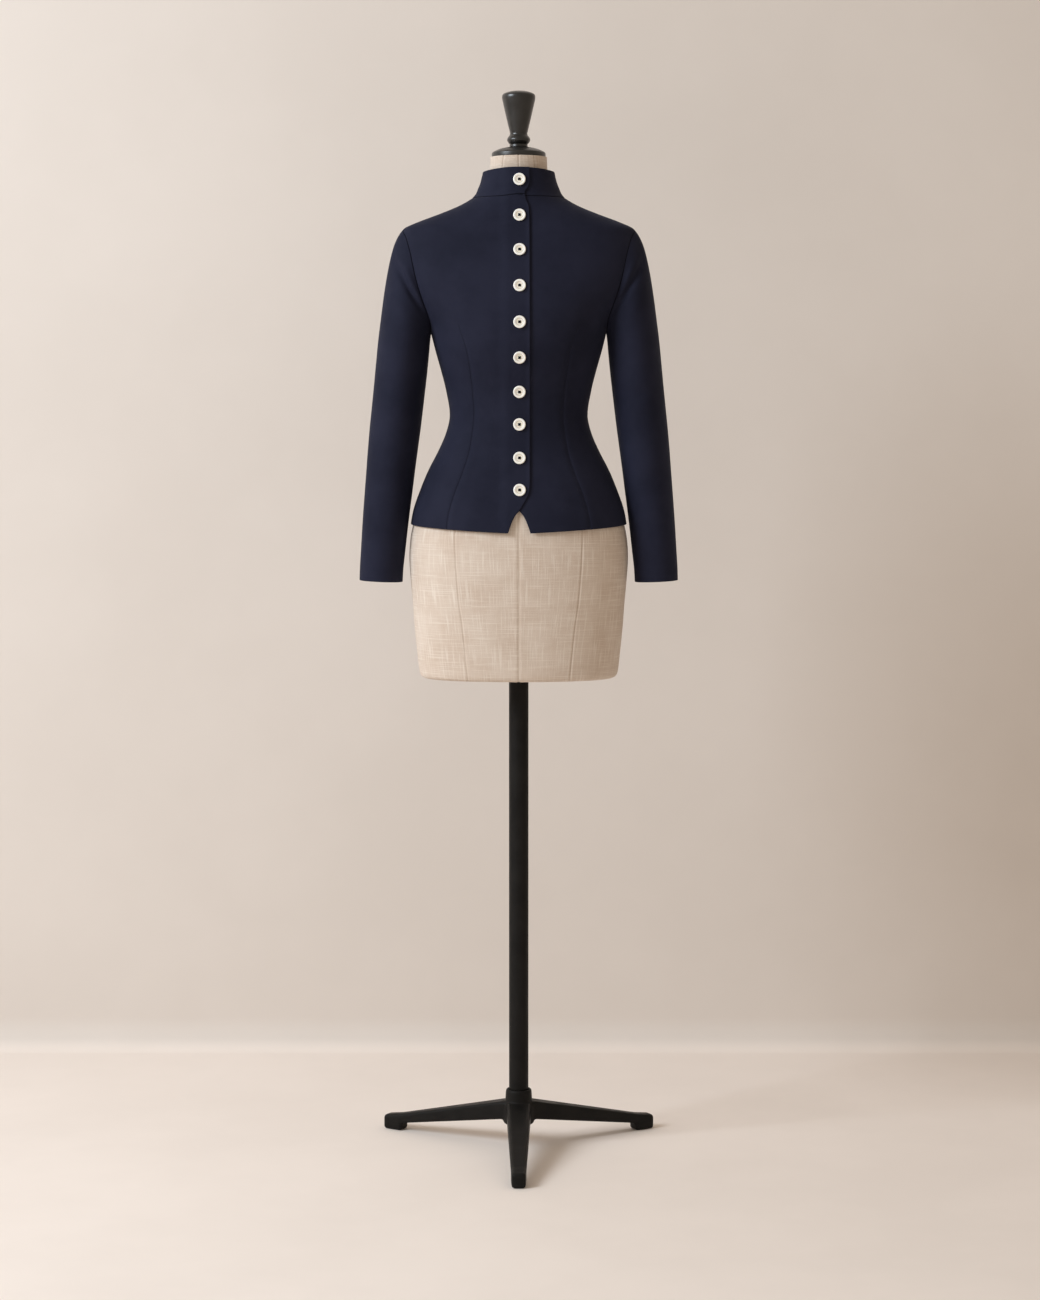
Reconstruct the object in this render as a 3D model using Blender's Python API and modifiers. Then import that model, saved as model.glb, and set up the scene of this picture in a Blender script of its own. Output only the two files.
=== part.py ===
"""A fitted high-neck jacket, buttoned down the middle, on a limbless dress form with a three-legged stand.

Everything is worked out round the pole's axis, with the buttoned side towards -Y, and then hangs from one empty
that puts the middle of the whole object over the world's origin. Right and left are the wearer's: right is at -X.
Lengths and tables are in millimetres; the meshes are made in metres.
"""

import math
from collections import namedtuple

import bmesh
import bpy
from mathutils import Matrix, Vector

MM = 0.001

# ---- the cloth ------------------------------------------------------------------------------------------------
CLOTH = 1.5  # the thickness of the panels and sleeves
COLLAR_CLOTH = 1.8  # the collar is cut double
SEAM_GAP = 0.3  # between two pieces at a seam
MITRE_LIMIT = 0.75  # keeps the wall from growing too thick where a seam is sharply bent
LAP_GAP = 0.5  # between the two layers where the fronts lap
LAP_RISE = COLLAR_CLOTH + LAP_GAP  # how far the upper layer stands over the lower one
LAP_CENTRE = 1.0  # x of the button line
LAP_HALF = 16.0  # from the button line to the edge underneath
LAP_RAMP = 18.0  # the width over which the upper front climbs
LAP_NARROW_SHARE = 0.6  # where the lap is cut away, its third column stands this far towards the ramp's end
LAP_CUT_AWAY = LAP_HALF / 3.0  # where the edge is nearer the button line than this, the lap is cut away
DART_DEPTH = 0.8
DART_HALF_WIDTH = 5.0
DART_FOLD_REACH = 0.5  # a point this near to the dart's line is on its fold
DARTS_END = 1354.0
DARTS_FADE = 45.0

HEM = 1033.0
HEM_DIP = 12.0  # how much lower the fronts are at the middle than at the side seam
HEM_DIP_POWER = 0.7
HEM_DIP_FADE = 150.0  # above this height over the hem the rows are level
ARMPIT = 1341.0
SHOULDER_TIP = 1509.0
NECKLINE = 1558.0
ARMHOLE_HALF_DEPTH = 54.0

# The torso in level sections, measured from the pole's axis. Between the armpit and the shoulder tip the half
# width is that of a stub arm, which the armholes cut off. dart_share is the dart line's x over the half width.
Section = namedtuple("Section", "height half_width front back squareness dart_share")
SECTIONS = (
    Section(1019, 178.0, 111.0, 120.5, 2.20, 0.650),
    Section(1056, 171.5, 104.5, 114.5, 2.20, 0.650),
    Section(1089, 160.0, 98.5, 107.5, 2.20, 0.635),
    Section(1120, 147.0, 93.0, 98.0, 2.16, 0.605),
    Section(1152, 130.5, 88.5, 88.0, 2.12, 0.600),
    Section(1181, 118.0, 85.5, 81.0, 2.10, 0.622),
    Section(1210, 112.0, 84.5, 78.0, 2.10, 0.630),
    Section(1250, 118.0, 88.5, 82.5, 2.12, 0.618),
    Section(1282, 126.0, 96.5, 90.0, 2.16, 0.608),
    Section(1314, 135.0, 104.0, 96.5, 2.20, 0.610),
    Section(1341, 141.8, 108.0, 100.5, 2.20, 0.640),
    Section(1361, 149.0, 108.5, 103.0, 2.20, 0.650),
    Section(1399, 174.0, 104.0, 105.5, 2.20, 0.640),
    Section(1425, 188.5, 99.0, 105.0, 2.20, 0.620),
    Section(1451, 196.5, 92.5, 102.0, 2.20, 0.610),
    Section(1475, 196.5, 86.0, 97.0, 2.20, 0.600),
    Section(1494, 192.0, 80.5, 91.5, 2.20, 0.600),
    Section(1509, 186.0, 75.5, 86.0, 2.20, 0.600),
    Section(1520, 162.5, 72.0, 82.0, 2.16, 0.610),
    Section(1533, 127.5, 69.0, 76.5, 2.12, 0.620),
    Section(1546, 96.0, 66.0, 71.5, 2.08, 0.620),
    Section(1558, 75.0, 63.5, 67.5, 2.05, 0.620),
    Section(1563, 70.0, 62.5, 66.0, 2.05, 0.620),
)

# Level rows of points below the armpit and above the shoulder tip; between them the rows follow the armhole.
ROWS_BELOW_ARMPIT = (1033, 1046, 1059, 1073, 1089, 1108, 1130, 1154, 1178, 1204, 1230, 1256, 1283, 1313)
ARMHOLE_STEPS = 10
ROWS_ABOVE_TIP = (1517, 1526, 1535, 1544, 1551, 1558)
FRONT_MIDDLE_STEPS = 3  # columns between the lap and the dart
SIDE_STEPS = 5  # columns between the dart and the side
BACK_MIDDLE_STEPS = 3  # columns between the middle of the back and a dart

# The upper front's edge, as its distance from the button line: the notch at the hem, the straight placket, and
# the small pull where the collar is sewn on. Below LOWER_EDGE_TOP the lower front's edge is its mirror image.
Edge = namedtuple("Edge", "height offset")
LAP_EDGE = (
    Edge(1020, -18.0),
    Edge(1039, -11.5),
    Edge(1050, -6.0),
    Edge(1058, 0.5),
    Edge(1068, 6.5),
    Edge(1076, 11.0),
    Edge(1088, 15.4),
    Edge(1106, 16.8),
    Edge(1493, 16.8),
    Edge(1540, 15.0),
    Edge(1551, 10.4),
    Edge(1558, 9.0),
    Edge(1563, 9.6),
    Edge(1570, 13.0),
    Edge(1580, 16.0),
    Edge(1604, 15.4),
)
LOWER_EDGE_TOP = 1092.0

# The stand collar, from the neckline up. Its top is a little higher in front.
Band = namedtuple("Band", "height half_width front back")
COLLAR_BANDS = (
    Band(1558, 75.0, 63.5, 67.5),
    Band(1565, 69.3, 61.0, 63.0),
    Band(1573, 65.8, 59.5, 61.0),
    Band(1583, 61.8, 58.0, 59.5),
    Band(1592, 59.4, 56.5, 58.0),
    Band(1600, 57.8, 56.0, 57.5),
)
COLLAR_FRONT_LIFT = 4.0
COLLAR_SQUARENESS = 2.05

# ---- the sleeves ----------------------------------------------------------------------------------------------
# Rings from the armhole to the cuff: the outer point, the inner point and half the depth front to back.
Ring = namedtuple("Ring", "outer_x outer_z inner_x inner_z half_depth")
SLEEVE_RINGS = (
    Ring(186.0, 1509.0, 141.8, 1341.0, 54.0),
    Ring(194.0, 1498.0, 142.3, 1339.0, 55.0),
    Ring(201.5, 1481.5, 142.7, 1336.5, 56.0),
    Ring(208.0, 1458.0, 143.1, 1333.0, 57.0),
    Ring(213.8, 1429.5, 143.6, 1328.5, 57.5),
    Ring(218.8, 1398.0, 144.2, 1322.0, 58.0),
    Ring(223.3, 1364.5, 145.0, 1312.0, 58.0),
    Ring(227.8, 1329.0, 146.4, 1297.5, 57.5),
    Ring(231.5, 1292.5, 148.6, 1276.0, 56.0),
    Ring(235.1, 1255.5, 151.6, 1250.5, 54.0),
    Ring(238.7, 1221.0, 155.1, 1221.0, 52.0),
    Ring(242.2, 1188.0, 159.2, 1188.0, 50.0),
    Ring(245.1, 1155.5, 163.7, 1155.5, 48.0),
    Ring(247.7, 1122.5, 168.2, 1122.5, 46.0),
    Ring(250.3, 1089.5, 172.4, 1089.5, 44.0),
    Ring(252.9, 1056.5, 176.8, 1056.5, 42.5),
    Ring(255.3, 1022.5, 181.0, 1022.5, 40.8),
    Ring(257.4, 988.5, 185.0, 987.5, 39.2),
    Ring(259.0, 963.5, 188.0, 961.5, 38.0),
    Ring(259.8, 941.5, 189.4, 938.5, 37.0),
)
SEAM_SHAPE_FADES_BY = 6  # the ring at which the sleeve has lost the armhole seam's own outline

# The soft drag crease that falls from the front and the back of each armhole towards the armpit.
Crease = namedtuple("Crease", "x z")
CREASE_LINE = (Crease(194.5, 1445.0), Crease(183.0, 1422.5), Crease(168.0, 1400.0), Crease(156.0, 1382.0))
CREASE_DEPTH = 2.2
CREASE_WIDTH = 14.0
RIDGE_HEIGHT = 1.2
RIDGE_OFFSET = 22.0
CREASE_FROM = 0.35  # the share of the armhole's half depth at which the crease starts, and where it is full
CREASE_FULL = 0.85

# ---- the buttons ----------------------------------------------------------------------------------------------
BUTTON_HEIGHTS = (1583.5, 1526.0, 1470.5, 1413.5, 1356.5, 1301.5, 1247.0, 1194.5, 1141.0, 1090.0)
BUTTON_STAND_OFF = 0.45
BUTTON_HOLE_RADIUS = 1.05
BUTTON_HOLE_SPACING = 3.2
BUTTON_HOLE_REACH = 8.0  # how far the drill goes out on both sides
BUTTON_HOLE_SEGMENTS = 8
BUTTON_SEGMENTS = 16
BUTTON_SHARP = 30.0

# ---- the dress form -------------------------------------------------------------------------------------------
FormSection = namedtuple("FormSection", "height half_width front back squareness")
FORM_SECTIONS = (
    FormSection(782.5, 153.5, 92.5, 99.5, 2.20),
    FormSection(785.5, 159.0, 97.0, 104.0, 2.20),
    FormSection(793.5, 162.0, 99.5, 106.5, 2.20),
    FormSection(824, 165.5, 101.5, 109.0, 2.20),
    FormSection(864, 169.5, 103.5, 111.5, 2.20),
    FormSection(905, 172.5, 105.0, 113.5, 2.20),
    FormSection(945, 176.0, 106.5, 115.0, 2.20),
    FormSection(981, 178.0, 106.0, 116.0, 2.20),
    FormSection(1011, 175.8, 104.5, 115.0, 2.20),
    FormSection(1033, 171.5, 103.0, 113.5, 2.20),
    FormSection(1056, 167.0, 100.5, 110.5, 2.20),
    FormSection(1089, 156.0, 94.5, 103.5, 2.20),
    FormSection(1120, 142.8, 89.0, 94.0, 2.16),
    FormSection(1152, 126.3, 84.5, 84.0, 2.12),
    FormSection(1181, 114.0, 81.5, 77.0, 2.10),
    FormSection(1210, 108.2, 80.7, 74.0, 2.10),
    FormSection(1250, 114.0, 84.5, 78.7, 2.12),
    FormSection(1282, 121.8, 92.5, 86.0, 2.16),
    FormSection(1314, 130.4, 100.0, 92.5, 2.20),
    FormSection(1341, 135.6, 104.0, 96.5, 2.20),
    FormSection(1368, 143.1, 103.8, 99.0, 2.20),
    FormSection(1399, 152.0, 99.5, 101.0, 2.20),
    FormSection(1435, 160.0, 91.8, 100.0, 2.20),
    FormSection(1470, 165.0, 82.5, 93.7, 2.20),
    FormSection(1490, 162.6, 76.5, 87.5, 2.20),
    FormSection(1503, 155.0, 71.7, 83.0, 2.18),
    FormSection(1515, 139.7, 68.2, 78.4, 2.14),
    FormSection(1526, 113.0, 64.8, 74.0, 2.12),
    FormSection(1537, 86.0, 61.3, 68.8, 2.08),
    FormSection(1549, 64.0, 56.4, 61.3, 2.04),
    FormSection(1561, 52.5, 51.0, 53.0, 2.00),
    FormSection(1579, 47.5, 47.5, 48.0, 2.00),
    FormSection(1602, 46.2, 46.2, 46.2, 2.00),
    FormSection(1623.7, 45.4, 45.4, 45.4, 2.00),
)
FORM_SEGMENTS = 28

# ---- the hard parts -------------------------------------------------------------------------------------------
FIT_GAP = 0.3
POLE_RADIUS = 16.0
POLE_SOCKET = 55.0  # how deep the pole goes into the form
TURNED_SEGMENTS = 24

Turned = namedtuple("Turned", "radius height")
BUTTON_PROFILE = (
    Turned(0.0, 1.8),
    Turned(5.2, 2.1),
    Turned(6.2, 2.9),
    Turned(8.6, 3.1),
    Turned(9.9, 2.2),
    Turned(9.9, 1.0),
    Turned(8.6, 0.0),
    Turned(0.0, 0.0),
)
CAP_PROFILE = (
    Turned(0.0, 16.4),
    Turned(15.0, 16.4),
    Turned(26.0, 14.4),
    Turned(35.5, 11.2),
    Turned(42.0, 8.0),
    Turned(43.5, 6.2),
    Turned(43.5, 0.6),
    Turned(42.7, 0.0),
    Turned(0.0, 0.0),
)
FINIAL_PROFILE = (
    Turned(0.0, 89.0),
    Turned(9.0, 88.4),
    Turned(18.0, 86.6),
    Turned(24.2, 84.0),
    Turned(26.6, 81.4),
    Turned(27.0, 79.2),
    Turned(26.2, 75.0),
    Turned(20.2, 47.0),
    Turned(13.7, 18.6),
    Turned(15.0, 16.9),
    Turned(17.6, 14.1),
    Turned(18.6, 10.4),
    Turned(17.6, 6.9),
    Turned(15.2, 4.7),
    Turned(14.5, 3.1),
    Turned(14.7, 0.0),
    Turned(0.0, 0.0),
)
HUB_PROFILE = (
    Turned(0.0, 98.5),
    Turned(19.6, 98.5),
    Turned(20.8, 97.5),
    Turned(21.4, 94.5),
    Turned(22.4, 74.6),
    Turned(23.8, 73.0),
    Turned(26.0, 69.0),
    Turned(26.0, 44.0),
    Turned(23.0, 40.0),
    Turned(0.0, 40.0),
)
HUB_SOCKET_FLOOR = 44.0
BORE_OVERRUN = 10.0

# A leg's side outline, from the hub along the top to the foot and back along the underside.
Outline = namedtuple("Outline", "reach height")
LEG_OUTLINE = (
    Outline(6.0, 77.0),
    Outline(24.0, 77.0),
    Outline(231.0, 28.0),
    Outline(260.0, 24.0),
    Outline(260.0, 0.0),
    Outline(224.0, 0.0),
    Outline(224.0, 13.0),
    Outline(24.0, 46.5),
    Outline(6.0, 46.5),
)
LEG_HUB_WIDTH = 40.0
LEG_FOOT_WIDTH = 22.4
LEG_TAPER_START = 24.0
LEG_BEVEL = 3.6
LEG_BEVEL_ANGLE = 35.0
LEG_COUNT = 3
FOOT_REACH = 260.0

NAVY = (0.016, 0.019, 0.038)
LINEN = (0.62, 0.54, 0.44)
BONE = (0.86, 0.82, 0.73)
BLACK_WOOD = (0.012, 0.011, 0.010)
BLACK_STEEL = (0.013, 0.013, 0.013)

SHARP = 40.0  # edges bent more than this many degrees stay crisp
CASTING_SHARP = 30.0
ANGLE_STEP = 0.02  # how far apart the points are that a normal is worked out from
LEVEL_STEP = 1.0
COLLAR_STEP = 0.02


# ---- helpers --------------------------------------------------------------------------------------------------
def material(name, colour, roughness, metallic=0.0):
    made = bpy.data.materials.new(name)
    made.use_nodes = True
    shader = made.node_tree.nodes["Principled BSDF"]
    shader.inputs["Base Color"].default_value = (*colour, 1.0)
    shader.inputs["Roughness"].default_value = roughness
    shader.inputs["Metallic"].default_value = metallic
    return made


def smooth_step(low, high, value):
    share = min(max((value - low) / (high - low), 0.0), 1.0)
    return share * share * (3.0 - 2.0 * share)


def spread(low, high, count):
    """Evenly spaced values from low up to, but without, high."""
    return [low + (high - low) * n / count for n in range(count)]


def between(rows, height):
    """One row of a table at any height, on a smooth curve through the rows; the first column is the height."""
    last = len(rows) - 1
    height = min(max(height, rows[0][0]), rows[last][0])
    i = max(n for n in range(last) if rows[n][0] <= height)
    low, high = rows[i], rows[i + 1]
    span = high[0] - low[0]
    share = (height - low[0]) / span
    before, after = rows[max(i - 1, 0)], rows[min(i + 2, last)]
    values = [height]
    for column in range(1, len(low)):
        start = (high[column] - before[column]) / (high[0] - before[0]) * span
        end = (after[column] - low[column]) / (after[0] - low[0]) * span
        rise = high[column] - low[column]
        bow = (start - rise) * (1.0 - share) - (end - rise) * share
        values.append(low[column] + rise * share + share * (1.0 - share) * bow)
    return type(low)(*values)


def signed_power(value, power):
    return math.copysign(abs(value) ** power, value)


def loop_point(half_width, front, back, squareness, angle, height):
    """A point of a level loop; the angle runs from the front middle towards +X, and to pi at the back middle."""
    depth = front if math.cos(angle) >= 0.0 else back
    power = 2.0 / squareness
    x = half_width * signed_power(math.sin(angle), power)
    y = -depth * signed_power(math.cos(angle), power)
    return Vector((x, y, height))


def angle_at(half_width, squareness, x):
    """The angle in the front half of a loop at which it has this x."""
    share = min(abs(x) / half_width, 1.0)
    return math.copysign(math.asin(share ** (squareness / 2.0)), x)


def surface_normal(surface, level, angle, level_step):
    """The outward normal of surface(level, angle), from points close by."""
    across = surface(level, angle + ANGLE_STEP) - surface(level, angle - ANGLE_STEP)
    along = surface(level + level_step, angle) - surface(level - level_step, angle)
    return across.cross(along).normalized()


def ring_normals(grid):
    """The outward normals of a grid of closed rings that runs downwards."""
    last, count = len(grid) - 1, len(grid[0])
    normals = []
    for r in range(last + 1):
        line = []
        for c in range(count):
            across = grid[r][(c + 1) % count] - grid[r][c - 1]
            along = grid[max(r - 1, 0)][c] - grid[min(r + 1, last)][c]
            line.append(across.cross(along).normalized())
        normals.append(line)
    return normals


def mirrored(vector, sign):
    return Vector((vector.x * sign, vector.y, vector.z))


def finish_piece(name, mesh, finish, sharp=SHARP):
    mesh.shade_smooth()
    mesh.set_sharp_from_angle(angle=math.radians(sharp))
    mesh.materials.append(finish)
    piece = bpy.data.objects.new(name, mesh)
    parts.objects.link(piece)
    piece.parent = axis
    return piece


def wall(name, outer, inner, closed_round, finish):
    """A closed cloth wall between two grids of points of the same size."""
    rows, columns = len(outer), len(outer[0])
    steps = columns if closed_round else columns - 1
    bm = bmesh.new()
    out = [[bm.verts.new(p * MM) for p in row] for row in outer]
    ins = [[bm.verts.new(p * MM) for p in row] for row in inner]
    for c in range(steps):
        d = (c + 1) % columns
        for r in range(rows - 1):
            bm.faces.new((out[r][c], out[r][d], out[r + 1][d], out[r + 1][c]))
            bm.faces.new((ins[r][c], ins[r + 1][c], ins[r + 1][d], ins[r][d]))
        for r in (0, rows - 1):
            bm.faces.new((out[r][c], out[r][d], ins[r][d], ins[r][c]))
    for r in range(rows - 1):
        for c in () if closed_round else (0, columns - 1):
            bm.faces.new((out[r][c], out[r + 1][c], ins[r + 1][c], ins[r][c]))
    bmesh.ops.recalc_face_normals(bm, faces=bm.faces)
    mesh = bpy.data.meshes.new(name)
    bm.to_mesh(mesh)
    bm.free()
    return finish_piece(name, mesh, finish)


def turned(name, profile, segments, finish, sharp=SHARP):
    """A turned piece: its profile runs down its outer side, and a Screw modifier takes it round."""
    mesh = bpy.data.meshes.new(name)
    points = [(p.radius * MM, 0.0, p.height * MM) for p in profile]
    mesh.from_pydata(points, [(n, n + 1) for n in range(len(points) - 1)], [])
    piece = finish_piece(name, mesh, finish, sharp)
    screw = piece.modifiers.new("turn", "SCREW")
    screw.steps = screw.render_steps = segments
    screw.use_merge_vertices = True
    screw.merge_threshold = 0.01 * MM
    screw.use_smooth_shade = True
    return piece


def settled(piece):
    """Applies a piece's modifiers."""
    bpy.context.view_layer.update()
    evaluated = piece.evaluated_get(bpy.context.evaluated_depsgraph_get())
    mesh = bpy.data.meshes.new_from_object(evaluated)
    piece.modifiers.clear()
    piece.data = mesh
    return piece


def combine(piece, other, operation):
    """A Boolean with another object in the same place, which is used up."""
    other.parent = piece.parent
    boolean = piece.modifiers.new(operation.lower(), "BOOLEAN")
    boolean.operation = operation
    boolean.object = other
    settled(piece)
    bpy.data.objects.remove(other, do_unlink=True)


def cylinder(name, radius, low, high, segments):
    bm = bmesh.new()
    bmesh.ops.create_cone(
        bm, cap_ends=True, segments=segments, radius1=radius * MM, radius2=radius * MM, depth=(high - low) * MM
    )
    bmesh.ops.translate(bm, verts=bm.verts, vec=(0.0, 0.0, (low + high) / 2.0 * MM))
    mesh = bpy.data.meshes.new(name)
    bm.to_mesh(mesh)
    bm.free()
    return mesh


# ---- the torso's surface and its seams ------------------------------------------------------------------------
# A seam point holds the direction through both walls, with its length, and the one from the panel to its neighbour.
Seam = namedtuple("Seam", "point through across")


def shared_seam(point, normal_a, normal_b, along, towards):
    """The mitre between two surfaces that meet at a point of a seam."""
    through = (normal_a + normal_b).normalized()
    across = through.cross(along).normalized()
    if across.dot(towards) < 0.0:
        across = -across
    return Seam(point, through * CLOTH / max(through.dot(normal_a), MITRE_LIMIT), across)


def torso_point(height, angle):
    s = between(SECTIONS, height)
    return loop_point(s.half_width, s.front, s.back, s.squareness, angle, height)


def torso_normal(height, angle):
    return surface_normal(torso_point, height, angle, LEVEL_STEP)


def armhole_turn(step):
    return math.pi * step / ARMHOLE_STEPS


def armhole_height(step):
    return ARMPIT + (SHOULDER_TIP - ARMPIT) * (1.0 - math.cos(armhole_turn(step))) / 2.0


def armhole_angle(step, is_front):
    """Where the armhole seam crosses its row."""
    s = between(SECTIONS, armhole_height(step))
    half_depth = ARMHOLE_HALF_DEPTH * math.sin(armhole_turn(step))
    share = half_depth / (s.front if is_front else s.back)
    angle = math.acos(share ** (s.squareness / 2.0))
    return angle if is_front else math.pi - angle


def armhole_steps_round():
    """The armhole once round: up the front from the armpit to the shoulder tip and down the back."""
    front = [(step, True) for step in range(ARMHOLE_STEPS + 1)]
    back = [(step, False) for step in range(ARMHOLE_STEPS - 1, 0, -1)]
    return front + back


def crease_move(point):
    """How far a point of the sleeve moves out or in because of the drag crease near it."""
    nearest = signed = math.inf
    for a, b in zip(CREASE_LINE, CREASE_LINE[1:]):
        run = Vector((b.x - a.x, b.z - a.z))
        away = Vector((point.x - a.x, point.z - a.z))
        share = min(max(away.dot(run) / run.length_squared, 0.0), 1.0)
        gap = away - run * share
        if gap.length < nearest:
            nearest = gap.length
            signed = math.copysign(nearest, run.x * gap.y - run.y * gap.x)
    trough = CREASE_DEPTH * math.exp(-((nearest / CREASE_WIDTH) ** 2))
    ridge = RIDGE_HEIGHT * math.exp(-(((signed - RIDGE_OFFSET) / CREASE_WIDTH) ** 2))
    return (ridge - trough) * smooth_step(CREASE_FROM, CREASE_FULL, abs(point.y) / ARMHOLE_HALF_DEPTH)


def ring_point(ring, turn):
    """The turn runs from the inner point over the front to the outer point and on over the back."""
    share = (1.0 - math.cos(turn)) / 2.0
    x = ring.inner_x + (ring.outer_x - ring.inner_x) * share
    z = ring.inner_z + (ring.outer_z - ring.inner_z) * share
    return Vector((x, -ring.half_depth * math.sin(turn), z))


def sleeve_surface():
    """Rings of outer points for the +X sleeve; the first ring is the armhole seam itself."""
    seam = [torso_point(armhole_height(step), armhole_angle(step, front)) for step, front in armhole_steps_round()]
    count = len(seam)
    grid = []
    for r, ring in enumerate(SLEEVE_RINGS):
        seam_share = 1.0 - smooth_step(0, SEAM_SHAPE_FADES_BY, r)
        row = []
        for c in range(count):
            turn = 2.0 * math.pi * c / count
            own_shape = seam[c] - ring_point(SLEEVE_RINGS[0], turn)
            row.append(ring_point(ring, turn) + own_shape * seam_share)
        grid.append(row)
    normals = ring_normals(grid)
    for row, line in zip(grid[1:], normals[1:]):
        row[:] = [p + n * crease_move(p) for p, n in zip(row, line)]
    return grid


def armhole_seams():
    """The +X armhole's seam points, once round, as the panels and the sleeve share them."""
    grid = sleeve_surface()
    normals = ring_normals(grid)
    count = len(grid[0])
    seams = []
    for c, (step, front) in enumerate(armhole_steps_round()):
        along = grid[0][(c + 1) % count] - grid[0][c - 1]
        normal = torso_normal(armhole_height(step), armhole_angle(step, front))
        towards = grid[1][c] - grid[0][c] + Vector((1.0, 0.0, 0.0))
        seams.append(shared_seam(grid[0][c], normal, normals[0][c], along, towards))
    return seams


def collar_point(share, angle):
    """A point of the collar: the share runs from the neckline to the top edge."""
    level = COLLAR_BANDS[0].height + (COLLAR_BANDS[-1].height - COLLAR_BANDS[0].height) * share
    b = between(COLLAR_BANDS, level)
    lift = COLLAR_FRONT_LIFT * share * max(math.cos(angle), 0.0) ** 2
    return loop_point(b.half_width, b.front, b.back, COLLAR_SQUARENESS, angle, level + lift)


def neckline_seam(angle):
    """The seam between the panels and the collar."""
    point = torso_point(NECKLINE, angle)
    along = torso_point(NECKLINE, angle + ANGLE_STEP) - torso_point(NECKLINE, angle - ANGLE_STEP)
    collar_normal = surface_normal(collar_point, COLLAR_STEP, angle, COLLAR_STEP)
    return shared_seam(point, torso_normal(NECKLINE, angle), collar_normal, along, Vector((0.0, 0.0, 1.0)))


def lap_rise(x):
    """How far the upper front and the collar's over end stand proud of the surface near the lap."""
    start = LAP_CENTRE - LAP_HALF - LAP_RAMP
    return LAP_RISE * smooth_step(start, start + LAP_RAMP, x)


# ---- the panels -----------------------------------------------------------------------------------------------
Row = namedtuple("Row", "height armhole_step")


def torso_rows():
    rows = [Row(float(h), None) for h in ROWS_BELOW_ARMPIT]
    rows += [Row(armhole_height(step), step) for step in range(ARMHOLE_STEPS + 1)]
    rows += [Row(float(h), None) for h in ROWS_ABOVE_TIP]
    return rows


def dipped(height, angle):
    """The fronts dip towards the middle at the hem, and the rows above follow, less and less."""
    if math.cos(angle) <= 0.0:
        return height
    s = between(SECTIONS, height)
    x = abs(torso_point(height, angle).x)
    dip = HEM_DIP * max(1.0 - x / s.half_width, 0.0) ** HEM_DIP_POWER
    return height - dip * (1.0 - smooth_step(HEM, HEM + HEM_DIP_FADE, height))


def dart_angles(height):
    """The angles of the near side, the fold and the far side of the front dart; the back mirrors them."""
    s = between(SECTIONS, height)
    fold = s.dart_share * s.half_width
    return [angle_at(s.half_width, s.squareness, fold + side * DART_HALF_WIDTH) for side in (-1.0, 0.0, 1.0)]


def outer_angle(row, is_front):
    """The angle of a panel's outer column: at the side seam, the armhole or the shoulder seam."""
    if row.armhole_step is None:
        return math.pi / 2.0
    return armhole_angle(row.armhole_step, is_front)


def outer_seam(row, is_front, seams):
    """The seam point of a panel's outer column. The fronts and the back meet across y."""
    to_other_panel = Vector((0.0, 1.0 if is_front else -1.0, 0.0))
    if row.armhole_step is None:
        normal = torso_normal(row.height, math.pi / 2.0)
        through = Vector((normal.x, 0.0, normal.z)).normalized() * CLOTH
        return Seam(torso_point(row.height, math.pi / 2.0), through, to_other_panel)
    seam = seams[row.armhole_step if is_front else -row.armhole_step]
    if row.armhole_step in (0, ARMHOLE_STEPS):
        return Seam(seam.point, seam.through, seam.across + to_other_panel)
    return seam


def panel_row(row, angles, is_front, seams, rise_at):
    """The outer and inner points of one row on the +X side, from the middle outwards."""
    dart_x = torso_point(row.height, dart_angles(row.height)[1]).x
    fade = 1.0 - smooth_step(DARTS_END - DARTS_FADE, DARTS_END, row.height)
    outer, inner = [], []
    for angle in angles[:-1]:
        height = dipped(row.height, angle)
        point = torso_point(height, angle)
        normal = torso_normal(height, angle)
        on_dart = abs(torso_point(row.height, angle).x - dart_x) < DART_FOLD_REACH
        groove = DART_DEPTH * fade if on_dart else 0.0
        through = normal * CLOTH
        if row.height == NECKLINE:
            seam = neckline_seam(angle)
            normal = seam.through.normalized()
            point = point - seam.across * (SEAM_GAP / 2.0)
            through = seam.through
        point = point + normal * rise_at(point.x)
        outer.append(point - normal * groove)
        inner.append(point - through)
    seam = outer_seam(row, is_front, seams)
    edge = seam.point - seam.across * (SEAM_GAP / 2.0)
    through = seam.through
    if row.height == NECKLINE:
        neck = neckline_seam(math.pi / 2.0)
        edge = edge - neck.across * (SEAM_GAP / 2.0)
        through = neck.through
    outer.append(edge)
    inner.append(edge - through)
    return outer, inner


def lap_edge_x(height, is_upper):
    """The x of a front's own edge in the lap, counted towards that front's own side."""
    over = between(LAP_EDGE, height).offset
    if is_upper:
        return -LAP_CENTRE - over
    if height >= LOWER_EDGE_TOP:
        return LAP_CENTRE - LAP_HALF
    return LAP_CENTRE - over


def lap_columns(edge, is_upper):
    """The x of a front's first three columns: its edge, the button line, and the line of the other edge."""
    centre = -LAP_CENTRE if is_upper else LAP_CENTRE
    far = centre + LAP_HALF
    if edge > centre - LAP_CUT_AWAY:
        far = edge + (centre + LAP_HALF + LAP_RAMP - edge) * LAP_NARROW_SHARE
        return [edge, (edge + far) / 2.0, far]
    return [edge, centre, far]


def front_angles(row, is_upper):
    s = between(SECTIONS, row.height)
    edge = lap_edge_x(dipped(row.height, 0.0), is_upper)
    lap = [angle_at(s.half_width, s.squareness, x) for x in lap_columns(edge, is_upper)]
    ramp_x = LAP_HALF + LAP_RAMP + (-LAP_CENTRE if is_upper else LAP_CENTRE)
    ramp = angle_at(s.half_width, s.squareness, ramp_x)
    near, fold, far = dart_angles(row.height)
    end = outer_angle(row, True)
    return lap + spread(ramp, near, FRONT_MIDDLE_STEPS) + [near, fold] + spread(far, end, SIDE_STEPS) + [end]


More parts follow.
